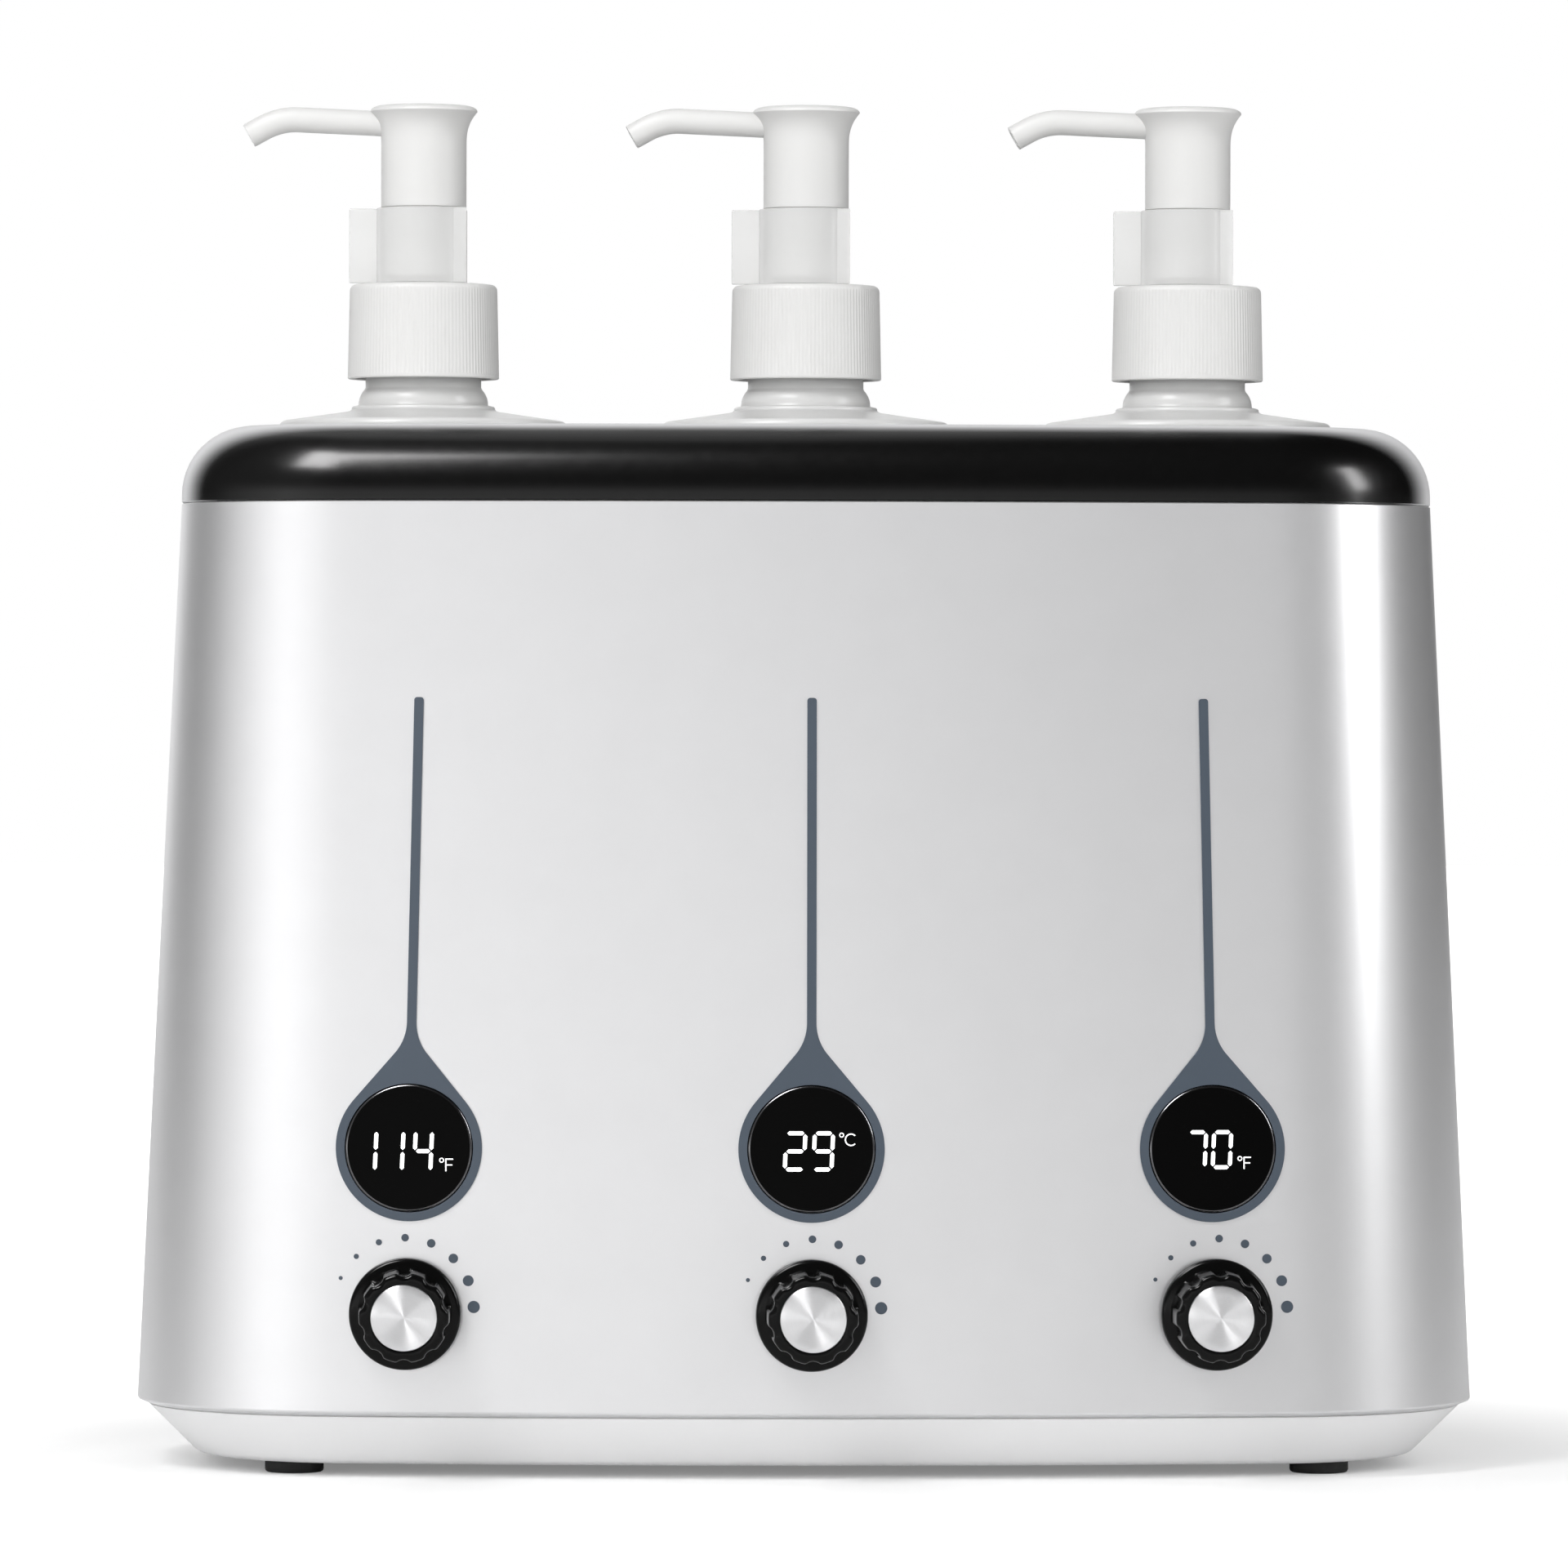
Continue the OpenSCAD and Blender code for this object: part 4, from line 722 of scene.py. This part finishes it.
right_bars += unit_bars("F", centre[2] + 6.4, DISPLAY_Z - 4.1, 2.5)
for side, bars in zip(SIDES, (left_bars, middle_bars, right_bars)):
    lit_piece(f"lit_digits_{side}", bars)

# %% [markdown]
# ## Knobs
# A knob is a turned flange with a tall grip. The grip's scallops are made by selecting the points near each
# of ten directions and drawing them in towards the axis with resize, deeper in the middle of a scallop. The
# spun metal cap is a disc with a softened edge.

# %% Knobs and caps
FLANGE_R, GRIP_R, KNOB_H, CAP_R, SHAFT_R = 11.45, 9.45, 15.0, 6.75, 3.05
SCALLOPS, SCALLOP_R, SCALLOP_DEPTH = 10, 2.4, 0.7
LOBE_POINTS = 16
knob_profile = [(SHAFT_R, 9.7), (SHAFT_R, 0), (FLANGE_R - 0.3, 0), (FLANGE_R, 0.3), (FLANGE_R, 2.0),
                (FLANGE_R - 0.12, 2.45), (FLANGE_R - 0.4, 2.8), (FLANGE_R - 0.85, 3.0), (GRIP_R + 0.35, 3.0),
                (GRIP_R + 0.1, 3.1), (GRIP_R, 3.35), (GRIP_R - 0.25, 13.9), (GRIP_R - 0.32, 14.3),
                (GRIP_R - 0.52, 14.65), (GRIP_R - 0.85, 14.9), (GRIP_R - 1.25, KNOB_H),
                (CAP_R + 0.35, KNOB_H), (CAP_R + 0.1, 14.92), (CAP_R + 0.05, 14.7), (CAP_R + 0.05, 14.2)]


def scalloped(piece):
    """Draws the grip in at ten places, with one resize for each distance from a scallop's middle."""
    middle_r = GRIP_R + SCALLOP_R - SCALLOP_DEPTH
    step = 2 * math.pi / SCALLOPS / LOBE_POINTS
    for n in range(LOBE_POINTS // 2):
        s = middle_r * math.sin(n * step)
        if abs(s) >= SCALLOP_R:
            break
        r = middle_r * math.cos(n * step) - math.sqrt(SCALLOP_R ** 2 - s * s)
        if r >= GRIP_R:
            break

        def in_scallop(co, n=n):
            if co.z < 3.3 * MM or math.hypot(co.x, co.y) < (CAP_R + 0.9) * MM:
                return False
            place = math.atan2(co.x, co.y) / step % LOBE_POINTS
            off = min(place, LOBE_POINTS - place)
            return off < n + 0.5 and (n == 0 or off > n - 0.5)

        selected_points(piece, in_scallop)
        bpy.ops.transform.resize(value=(r / GRIP_R, r / GRIP_R, 1), center_override=(0, 0, 0))


CAP_TOP = 15.2
cap_profile = [(CAP_R, 14.2), (CAP_R, 15.02), (CAP_R - 0.08, 15.14), (CAP_R - 0.25, CAP_TOP),
               (5, CAP_TOP), (3, CAP_TOP), (1, CAP_TOP)]
first_knob = turned("knob", knob_profile, around=SCALLOPS * LOBE_POINTS, shape=scalloped, smooth=32)
first_cap = turned("cap", cap_profile, around=96, smooth=20)
disc_map = first_cap.data.uv_layers.new(name="disc")
for corner in first_cap.data.loops:
    spot = first_cap.data.vertices[corner.vertex_index].co
    disc_map.data[corner.index].uv = (spot.x / (CAP_R * MM), spot.y / (CAP_R * MM))
for k, side in enumerate(SIDES):
    place = (channel_x(k, KNOB_Z), KNOB_BACK[k], KNOB_Z, 90)
    grip = moved(copied(first_knob, f"knob_grip_{side}"), *place)
    dressed(grip, f"knob_{side}_body", knob_gloss, f"knob_{side}")
    disc = moved(copied(first_cap, f"spun_disc_{side}"), *place)
    dressed(disc, f"knob_{side}_body", spun_metal, f"knob_cap_{side}")
bpy.data.objects.remove(first_knob)
bpy.data.objects.remove(first_cap)

# %% [markdown]
# ## Bottles and closures
# The bottles are blown from milky plastic: a shallow shoulder, a step, a bead and a plain neck. The closures
# are screw caps with fine upright ribs. The ribs are made by drawing every other pair of points in.

# %% Bottles
BOTTLE_R, Z_BOTTLE, Z_SHOULDER, Z_BEAD, Z_NECK = 30.4, 87.8, 219.1, 222.2, 243.2
FOOT_ROUND, SHOULDER_ROUND, NECK_R = 4.0, 1.5, 12.2
bottle_profile = [(2, Z_BOTTLE + 1.2), (16, Z_BOTTLE + 1.0), (21, Z_BOTTLE + 0.4), (24, Z_BOTTLE)]
bottle_profile += [(BOTTLE_R - FOOT_ROUND * (1 - math.cos(a)), Z_BOTTLE + FOOT_ROUND * (1 + math.sin(a)))
                   for a in [math.radians(-90 + 11.25 * k) for k in range(9)]]
bottle_profile += [(BOTTLE_R - SHOULDER_ROUND * (1 - math.cos(a)),
                    Z_SHOULDER - SHOULDER_ROUND * (1 - math.sin(a)))
                   for a in [math.radians(82 * k / 8) for k in range(9)]]
bottle_profile += [(22, Z_SHOULDER + 1.0), (16.2, Z_BEAD - 1.25), (15.5, Z_BEAD - 1.05),
                   (15.15, Z_BEAD - 0.75), (15.1, Z_BEAD - 0.35), (14.85, Z_BEAD - 0.1), (14.4, Z_BEAD),
                   (13.85, Z_BEAD + 0.05), (13.65, Z_BEAD + 0.3), (13.6, Z_BEAD + 1.0),
                   (13.45, Z_BEAD + 1.7), (13.15, Z_BEAD + 2.4), (12.8, Z_BEAD + 3.0),
                   (12.45, Z_BEAD + 3.4), (NECK_R, Z_BEAD + 3.9), (NECK_R, Z_NECK - 0.3), (11.9, Z_NECK),
                   (10.9, Z_NECK), (10.6, Z_NECK - 0.3), (10.6, Z_BEAD - 1.2), (15, Z_BEAD - 2.5),
                   (27, Z_SHOULDER - 2.7), (29.2, Z_SHOULDER - 4.2), (29.2, Z_BOTTLE + FOOT_ROUND),
                   (27, Z_BOTTLE + 2.2), (22, Z_BOTTLE + 2.2), (2, Z_BOTTLE + 2.4)]
first_bottle = turned("bottle", bottle_profile, around=128, smooth=38)
one_per_bottle(first_bottle, "milk_bottle", "bottle", bottle_milk, "bottle")

# %% Closures and collars
Z_CLOSURE, Z_CAP, CLOSURE_R, CLOSURE_TOP_R = 227.9, 247.8, 15.95, 15.55
COLLAR_R, Z_COLLAR, Z_STEP, Z_CHIMNEY, STEM_HOLE_R = 6.6, 244.6, 246.0, 263.9, 3.56
CAP_RIBS, COLLAR_RIBS = 120, 34


def ribbed(low, high, inside, ribs, depth):
    """A shape step that draws in every other pair of points outside a radius, between two heights."""
    def shape(piece):
        step = 2 * math.pi / (4 * ribs)

        def in_valley(co):
            far = math.hypot(co.x, co.y)
            place = round(math.atan2(co.y, co.x) / step) % 4
            return low * MM < co.z < high * MM and far > inside * MM and place in (0, 1)

        selected_points(piece, in_valley)
        bpy.ops.transform.resize(value=(1 - depth, 1 - depth, 1), center_override=(0, 0, 0))
    return shape


closure_profile = [(14.35, Z_CLOSURE + 0.1), (14.5, Z_CLOSURE), (CLOSURE_R - 0.2, Z_CLOSURE),
                   (CLOSURE_R, Z_CLOSURE + 0.2), (CLOSURE_R - 0.01, Z_CLOSURE + 0.9),
                   (CLOSURE_R - 0.02, Z_CLOSURE + 1.0), (CLOSURE_TOP_R, Z_CAP - 1.35),
                   (CLOSURE_TOP_R - 0.1, Z_CAP - 0.8), (CLOSURE_TOP_R - 0.4, Z_CAP - 0.35),
                   (CLOSURE_TOP_R - 0.85, Z_CAP - 0.07), (CLOSURE_TOP_R - 1.35, Z_CAP), (10.5, Z_CAP),
                   (7.2, Z_CAP), (6.9, Z_CAP - 0.3), (6.9, Z_CAP - 1.6), (13.5, Z_CAP - 1.6),
                   (14.35, Z_CLOSURE + 0.1)]
collar_profile = [(STEM_HOLE_R, Z_COLLAR), (11.8, Z_COLLAR), (11.8, Z_STEP), (COLLAR_R, Z_STEP),
                  (COLLAR_R, Z_STEP + 1.0), (COLLAR_R, Z_CHIMNEY - 0.5),
                  (COLLAR_R - 0.12, Z_CHIMNEY - 0.15), (COLLAR_R - 0.4, Z_CHIMNEY), (3.8, Z_CHIMNEY),
                  (STEM_HOLE_R, Z_CHIMNEY - 0.25), (STEM_HOLE_R, Z_COLLAR)]
first_closure = turned("closure", closure_profile, around=4 * CAP_RIBS, cap_start=False, cap_end=False,
                       shape=ribbed(Z_CLOSURE + 0.95, Z_CAP - 1.2, 14.9, CAP_RIBS, 0.006), smooth=38)
first_collar = turned("collar", collar_profile, around=4 * COLLAR_RIBS, cap_start=False, cap_end=False,
                      shape=ribbed(Z_STEP + 0.5, Z_CHIMNEY - 0.05, 6.0, COLLAR_RIBS, 0.035), smooth=38)
one_per_bottle(first_closure, "screw_cap", "closure", pump_white, "closure")
one_per_bottle(first_collar, "ribbed_collar", "pump", pump_white, "pump_collar")

# %% [markdown]
# ## Lock clips
# A clip is a clear C-shaped sleeve that stands between the closure and the pump head. A turned cup with a
# hole in its floor gets a pull tab and two straight jaws joined on, and a slot is cut between the jaws, where
# it goes over the collar.

# %% Clips
Z_CLIP, CLIP_H, CLIP_IN_R, CLIP_OUT_R, CLIP_FLOOR, CLIP_SLOT = 248.0, 15.9, 9.2, 10.0, 1.5, 6.9
CLIP_TAB_REACH, CLIP_TAB_T, CLIP_JAW_REACH = 15.7, 1.8, 9.1


def plain_block(x0, x1, y0, y1, z0, z1, soften=0.0):
    start_fresh()
    middle = ((x0 + x1) / 2 * MM, (y0 + y1) / 2 * MM, (z0 + z1) / 2 * MM)
    bpy.ops.mesh.primitive_cube_add(size=1, location=middle)
    piece = bpy.context.object
    piece.scale = ((x1 - x0) * MM, (y1 - y0) * MM, (z1 - z0) * MM)
    bpy.ops.object.transform_apply(location=True, rotation=True, scale=True)
    if soften:
        bpy.ops.object.mode_set(mode="EDIT")
        bpy.ops.mesh.select_all(action="SELECT")
        bpy.ops.mesh.bevel(offset=soften * MM, segments=3, affect="EDGES")
        bpy.ops.object.mode_set(mode="OBJECT")
    return piece


top = Z_CLIP + CLIP_H
clip_profile = [(CLIP_SLOT, Z_CLIP), (CLIP_OUT_R - 0.15, Z_CLIP), (CLIP_OUT_R, Z_CLIP + 0.15),
                (CLIP_OUT_R, top - 0.15), (CLIP_OUT_R - 0.15, top), (CLIP_IN_R + 0.15, top),
                (CLIP_IN_R, top - 0.15), (CLIP_IN_R, Z_CLIP + CLIP_FLOOR), (CLIP_SLOT, Z_CLIP + CLIP_FLOOR),
                (CLIP_SLOT, Z_CLIP)]
first_clip = turned("clip", clip_profile, around=128, cap_start=False, cap_end=False)
tab = plain_block(-CLIP_TAB_REACH, -CLIP_IN_R - 0.3, -CLIP_TAB_T / 2, CLIP_TAB_T / 2,
                  Z_CLIP + 0.1, top - 0.1, 0.3)
combined(first_clip, tab, "UNION")
jaw_x = math.sqrt(CLIP_IN_R ** 2 - CLIP_SLOT ** 2)
for y in (-CLIP_SLOT - 0.8, CLIP_SLOT - 0.3):
    jaw = plain_block(jaw_x, CLIP_JAW_REACH, y, y + 1.1, Z_CLIP + 0.05, top - 0.05, 0.1)
    combined(first_clip, jaw, "UNION")
combined(first_clip, plain_block(0, 15, -CLIP_SLOT, CLIP_SLOT, Z_CLIP - 5, top + 5))
one_per_bottle(first_clip, "clear_clip", "clip", clip_clear, "lock_clip")

# %% [markdown]
# ## Pump heads
# The head is a hollow turned skirt with a flared, slightly domed top. The spout is a tube that rises a
# little, bends down and ends in a square cut with a hole. The tube is lofted along its path and joined on.

# %% Heads with their spouts
Z_HEAD, HEAD_H, HEAD_R, HEAD_TOP_R, FLARE_H, HEAD_WALL, HEAD_CAVITY = 264.2, 21.3, 9.0, 11.3, 8.0, 1.15, 12.6
SPOUT_DOWN, SPOUT_R, FLOW_R, SPOUT_REACH = 4.15, 2.65, 1.5, 26.4
SPOUT_RISE, SPOUT_BEND_R, SPOUT_DROP, SPOUT_TIP = math.radians(2.5), 14.0, math.radians(29), 3.5
HEAD_RIM, Z_LIP = 1.2, Z_HEAD - 0.25
z_head_top = Z_HEAD + HEAD_H
z_flare = z_head_top - FLARE_H
head_profile = [(3.2, Z_HEAD + HEAD_CAVITY), (HEAD_R - HEAD_WALL, Z_HEAD + HEAD_CAVITY),
                (HEAD_R - HEAD_WALL, Z_LIP + 0.2), (HEAD_R - HEAD_WALL + 0.2, Z_LIP), (HEAD_R - 0.2, Z_LIP),
                (HEAD_R, Z_LIP + 0.2)]
head_profile += [(HEAD_R + (HEAD_TOP_R - HEAD_R) * u ** 2.6, z_flare + (FLARE_H - HEAD_RIM) * u)
                 for u in [k / 12 for k in range(13)]]
head_profile += [(HEAD_TOP_R - 2 * HEAD_RIM * (1 - math.cos(a)), z_head_top - HEAD_RIM * (1 - math.sin(a)))
                 for a in [math.radians(11.25 * k) for k in range(1, 9)]]
head_profile += [(6, z_head_top + 0.2), (3, z_head_top + 0.35), (1, z_head_top + 0.4)]


def spout_stations():
    """Middle points and directions of the spout in its upright plane, as (x, z, dx, dz) in millimetres."""
    dx, dz = -math.cos(SPOUT_RISE), math.sin(SPOUT_RISE)
    run = SPOUT_REACH / math.cos(SPOUT_RISE)
    z0 = z_head_top - SPOUT_DOWN
    stations = [(s * dx, z0 + s * dz, dx, dz) for s in (5.0, 12.0, 18.0, 23.0)]
    turn = SPOUT_RISE + SPOUT_DROP
    bx, bz = run * dx, z0 + run * dz
    cx, cz = bx - SPOUT_BEND_R * math.sin(SPOUT_RISE), bz - SPOUT_BEND_R * math.cos(SPOUT_RISE)
    for n in range(13):
        a = SPOUT_RISE - turn * n / 12
        x, z = cx + SPOUT_BEND_R * math.sin(a), cz + SPOUT_BEND_R * math.cos(a)
        stations.append((x, z, -math.cos(a), math.sin(a)))
    x, z, dx, dz = stations[-1]
    return stations + [(x + SPOUT_TIP * dx, z + SPOUT_TIP * dz, dx, dz)]


def spout_ring(station, r, back=0.0, around=48):
    x, z, dx, dz = station
    x, z = x - back * dx, z - back * dz
    return [Vector((x - r * math.cos(t) * dz, r * math.sin(t), z + r * math.cos(t) * dx)) * MM
            for t in [2 * math.pi * j / around for j in range(around)]]


stations = spout_stations()
end = stations[-1]
spout_rings = [spout_ring(s, SPOUT_R) for s in stations[:-1]]
spout_rings += [spout_ring(end, SPOUT_R, 0.2), spout_ring(end, SPOUT_R - 0.06, 0.06),
                spout_ring(end, SPOUT_R - 0.2), spout_ring(end, FLOW_R + 0.15), spout_ring(end, FLOW_R, 0.15),
                spout_ring(end, FLOW_R, 3.0)]
first_head = turned("head", head_profile, around=128, smooth=35)
combined(first_head, lofted("tool", spout_rings), "UNION", smooth=35)
one_per_bottle(first_head, "press_head", "head", pump_white, "pump_head")

# %% [markdown]
# ## Inner pieces
# What is inside keeps its CAD shape and gets a finish of its own: drawn aluminium wells, silicone heater
# mats, green boards, steel screws and brass pins. The wells show when a bottle is lifted out.

# %% Finishes for the CAD pieces that stay
well_metal = grained("drawn_aluminium", (0.72, 0.73, 0.74), 0.35, 1200, bump=0.1, shade=0.04, metallic=1.0)
steel = grained("plain_steel", (0.6, 0.6, 0.61), 0.3, 2000, bump=0.05, shade=0.05, metallic=1.0)
brass = grained("pin_brass", (0.78, 0.58, 0.25), 0.28, 2000, bump=0.05, shade=0.05, metallic=1.0)
frame_grey = grained("grey_frame_moulding", (0.07, 0.07, 0.072), 0.55, 1500, bump=0.12, shade=0.1)
silicone = grained("heater_silicone", (0.62, 0.13, 0.03), 0.6, 900, bump=0.2, shade=0.12)
seal_black = grained("seal_rubber", (0.02, 0.02, 0.02), 0.65, 1500, bump=0.2, shade=0.2)
board_mask = grained("green_board", (0.02, 0.12, 0.055), 0.4, 700, bump=0.15, shade=0.35)
module_case = grained("display_module_case", (0.7, 0.68, 0.6), 0.5, 1500, bump=0.1, shade=0.05)
lead_jacket = grained("red_lead", (0.35, 0.02, 0.02), 0.45, 1500, bump=0.1, shade=0.1)
inlet_black = grained("inlet_moulding", (0.016, 0.016, 0.016), 0.45, 1500, bump=0.15, shade=0.2)
kept = {"base_screws": steel, "well_carrier": frame_grey, "heater_mats": silicone, "well_seals": seal_black,
        "temperature_sensors": brass, "display_modules": module_case, "control_boards": board_mask,
        "control_bodies": frame_grey, "board_screws": steel, "power_board": board_mask,
        "heater_leads": lead_jacket, "inlet_socket": inlet_black, "inlet_pins": brass}
for side in SIDES:
    kept.update({f"heating_well_{side}": well_metal, f"control_shaft_{side}": steel,
                 f"pump_housing_{side}": pump_white, f"dip_tube_{side}": bottle_milk,
                 f"pump_stem_{side}": pump_white})
for node, finish in kept.items():
    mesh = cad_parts[node].data
    mesh.materials.clear()
    mesh.materials.append(finish)
print("CAD pieces with a new finish:", len(kept))

# %% [markdown]
# ## Return springs
# A spring under the piston lifts the head again after each stroke. A small circle, the section of the wire,
# is wound round the pump's axis by a Screw modifier and the two ends are filled. On the real pump it is the
# one piece that changes its shape as it works, shortening towards its lower end by the stroke while the head
# goes down; here each spring gets a mesh of its own.

# %% Springs
SPRING_WIRE_R, SPRING_TURNS, STROKE = 0.45, 8, 12.0
spring_low, spring_high = [Vector(corner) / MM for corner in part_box("pump_spring_middle")]
spring_size = spring_high - spring_low
start_fresh()
wire_x, wire_z = spring_size.y / 2 - SPRING_WIRE_R, spring_low.z + SPRING_WIRE_R
bpy.ops.mesh.primitive_circle_add(vertices=10, radius=SPRING_WIRE_R * MM, rotation=(math.pi / 2, 0, 0),
                                  location=(wire_x * MM, 0, wire_z * MM))
first_spring = end_modelling(bpy.context.object, "spring", smooth=0)
winding = first_spring.modifiers.new("winding", "SCREW")
winding.screw_offset = (spring_size.z - 2 * SPRING_WIRE_R) * MM / SPRING_TURNS
winding.iterations = SPRING_TURNS
winding.steps = winding.render_steps = 24
bpy.ops.object.modifier_apply(modifier=winding.name)
bpy.ops.object.mode_set(mode="EDIT")
bpy.ops.mesh.select_all(action="SELECT")
bpy.ops.mesh.fill_holes(sides=0)
end_modelling(first_spring, "spring", smooth=50)
springs = one_per_bottle(first_spring, "return_spring", "pump", steel, "pump_spring")
for k, side in enumerate(SIDES):
    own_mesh(springs[k])
print("spring", round(spring_size.z, 2), "mm long, pressed", round(spring_size.z - STROKE, 2), "mm")

# %% [markdown]
# ## Stage and light
# A white floor runs back into a white background. Only the camera sees the world as plain white. Gloss and
# clear plastic see a studio round the object, bright behind it and in front on the left, dark at the sides,
# which gives the silver its bands, and an even grey fills the shadows. A key box stands high in front on the
# left, with broad boxes in front, above and on the right and a narrow one low on the right. Two cards, high on
# the left and far on the right, show only in gloss, as streaks on lid and knobs.

# %% Floor
start_fresh()
bpy.ops.mesh.primitive_plane_add(size=16)
floor = bpy.context.object
floor.name = "studio_floor"
floor_mat = bpy.data.materials.new("white_floor")
floor_mat.use_nodes = True
tree = floor_mat.node_tree
plain = tree.nodes["Principled BSDF"]
plain.inputs["Base Color"].default_value = (0.82, 0.82, 0.82, 1)
plain.inputs["Roughness"].default_value = 0.9
plain.inputs["Specular IOR Level"].default_value = 0.0
plain.inputs["Emission Color"].default_value = (1, 1, 1, 1)
path = tree.nodes.new("ShaderNodeLightPath")
where = tree.nodes.new("ShaderNodeTexCoord")
reach = tree.nodes.new("ShaderNodeVectorMath")
reach.operation = "LENGTH"
tree.links.new(where.outputs["Object"], reach.inputs[0])
far = ranged(tree, reach.outputs["Value"], 0.21, 1.0, start=0.16, end=0.38)
lift = tree.nodes.new("ShaderNodeMath")
lift.operation = "MULTIPLY"
tree.links.new(path.outputs["Is Camera Ray"], lift.inputs[0])
tree.links.new(far, lift.inputs[1])
tree.links.new(lift.outputs["Value"], plain.inputs["Emission Strength"])
floor.data.materials.append(floor_mat)
print("floor", tuple(floor.dimensions[:2]), "m")

# %% World
world = bpy.data.worlds.new("studio")
bpy.context.scene.world = world
world.use_nodes = True
tree = world.node_tree
background = tree.nodes["Background"]
background.inputs["Color"].default_value = (1, 1, 1, 1)
path = tree.nodes.new("ShaderNodeLightPath")
where = tree.nodes.new("ShaderNodeTexCoord")
split = tree.nodes.new("ShaderNodeSeparateXYZ")
tree.links.new(where.outputs["Generated"], split.inputs["Vector"])
turn = tree.nodes.new("ShaderNodeMath")
turn.operation = "ARCTAN2"
flip = tree.nodes.new("ShaderNodeMath")
flip.operation = "MULTIPLY"
flip.inputs[1].default_value = -1
tree.links.new(split.outputs["Y"], flip.inputs[0])
tree.links.new(split.outputs["X"], turn.inputs[0])
tree.links.new(flip.outputs["Value"], turn.inputs[1])
azimuth = ranged(tree, turn.outputs["Value"], 0.0, 1.0, start=-math.pi, end=math.pi)


def studio_ramp(stops):
    """Brightness round the studio, as (degrees from the front, value)."""
    ramp = tree.nodes.new("ShaderNodeValToRGB")
    for degrees, value in stops:
        place = (degrees + 180) / 360
        if degrees == -180:
            stop = ramp.color_ramp.elements[0]
        elif degrees == 180:
            stop = ramp.color_ramp.elements[-1]
        else:
            stop = ramp.color_ramp.elements.new(place)
        stop.color = (value, value, value, 1)
    tree.links.new(azimuth, ramp.inputs["Fac"])
    return ramp.outputs["Color"]


low = studio_ramp([(-180, 1), (-155, 1), (-140, 0.35), (-122, 0.02), (-104, 0.2), (-78, 1.3), (-50, 2.75),
                   (-20, 1.96), (0, 1.65), (20, 0.92), (45, 0.2), (58, 0.4), (84, 0.4), (98, 0.05),
                   (112, 0.01), (156, 0.01), (167, 0.5), (174, 1), (180, 1)])
high = studio_ramp([(-180, 1), (-155, 1), (-140, 0.3), (-120, 0.08), (-90, 0.25), (-50, 0.35), (-20, 0.1),
                    (0, 0.08), (50, 0.05), (110, 0.02), (156, 0.02), (167, 0.6), (174, 1), (180, 1)])
height = ranged(tree, split.outputs["Z"], 0.0, 1.0, start=0.04, end=0.18)
behind = tree.nodes.new("ShaderNodeMix")
tree.links.new(height, behind.inputs[0])
tree.links.new(low, behind.inputs[2])
tree.links.new(high, behind.inputs[3])
seen = tree.nodes.new("ShaderNodeMath")
seen.operation = "MAXIMUM"
tree.links.new(path.outputs["Is Glossy Ray"], seen.inputs[0])
tree.links.new(path.outputs["Is Transmission Ray"], seen.inputs[1])
fill_or_seen = tree.nodes.new("ShaderNodeMix")
fill_or_seen.inputs[2].default_value = 0.6
tree.links.new(seen.outputs["Value"], fill_or_seen.inputs[0])
tree.links.new(behind.outputs[0], fill_or_seen.inputs[3])
camera_white = tree.nodes.new("ShaderNodeMix")
camera_white.inputs[3].default_value = 1.0
tree.links.new(path.outputs["Is Camera Ray"], camera_white.inputs[0])
tree.links.new(fill_or_seen.outputs[0], camera_white.inputs[2])
tree.links.new(camera_white.outputs[0], background.inputs["Strength"])
print("world nodes:", len(tree.nodes))


# %% Lamps
def soft_box(name, azimuth, elevation, distance, size, power):
    """A lamp that faces the middle of the object. Azimuth 0 is the front, positive to the right."""
    a, e = math.radians(azimuth), math.radians(elevation)
    middle = Vector((0, 0, 0.13))
    out = Vector((math.sin(a) * math.cos(e), -math.cos(a) * math.cos(e), math.sin(e)))
    start_fresh()
    bpy.ops.object.light_add(type="AREA", location=middle + out * distance)
    lamp = bpy.context.object
    lamp.name = name
    lamp.rotation_mode = "QUATERNION"
    lamp.rotation_quaternion = (-out).to_track_quat("-Z", "Y")
    lamp.data.shape = "RECTANGLE"
    lamp.data.size, lamp.data.size_y = size
    lamp.data.energy = power
    return lamp


for lamp in (soft_box("key_box", -34, 47, 1.6, (0.34, 0.5), 8),
             soft_box("top_box", 0, 80, 1.4, (1.6, 0.9), 0.5),
             soft_box("front_box", -20, 15, 2.6, (1.6, 1.2), 15),
             soft_box("fill_box", 60, 20, 1.6, (0.8, 0.8), 1.0)):
    lamp.visible_glossy = False
soft_box("right_box", 70, 14, 1.3, (0.1, 0.5), 1.0)
# Reflecting cards: gloss sees them, and they light nothing else
for card in (soft_box("left_card", -42, 52, 1.6, (0.55, 0.7), 32),
             soft_box("right_card", 73, 24, 1.3, (0.2, 0.6), 8)):
    card.visible_diffuse = False
bpy.context.scene.view_settings.view_transform = "Standard"
print("lamps and cards:", len(bpy.data.lights))
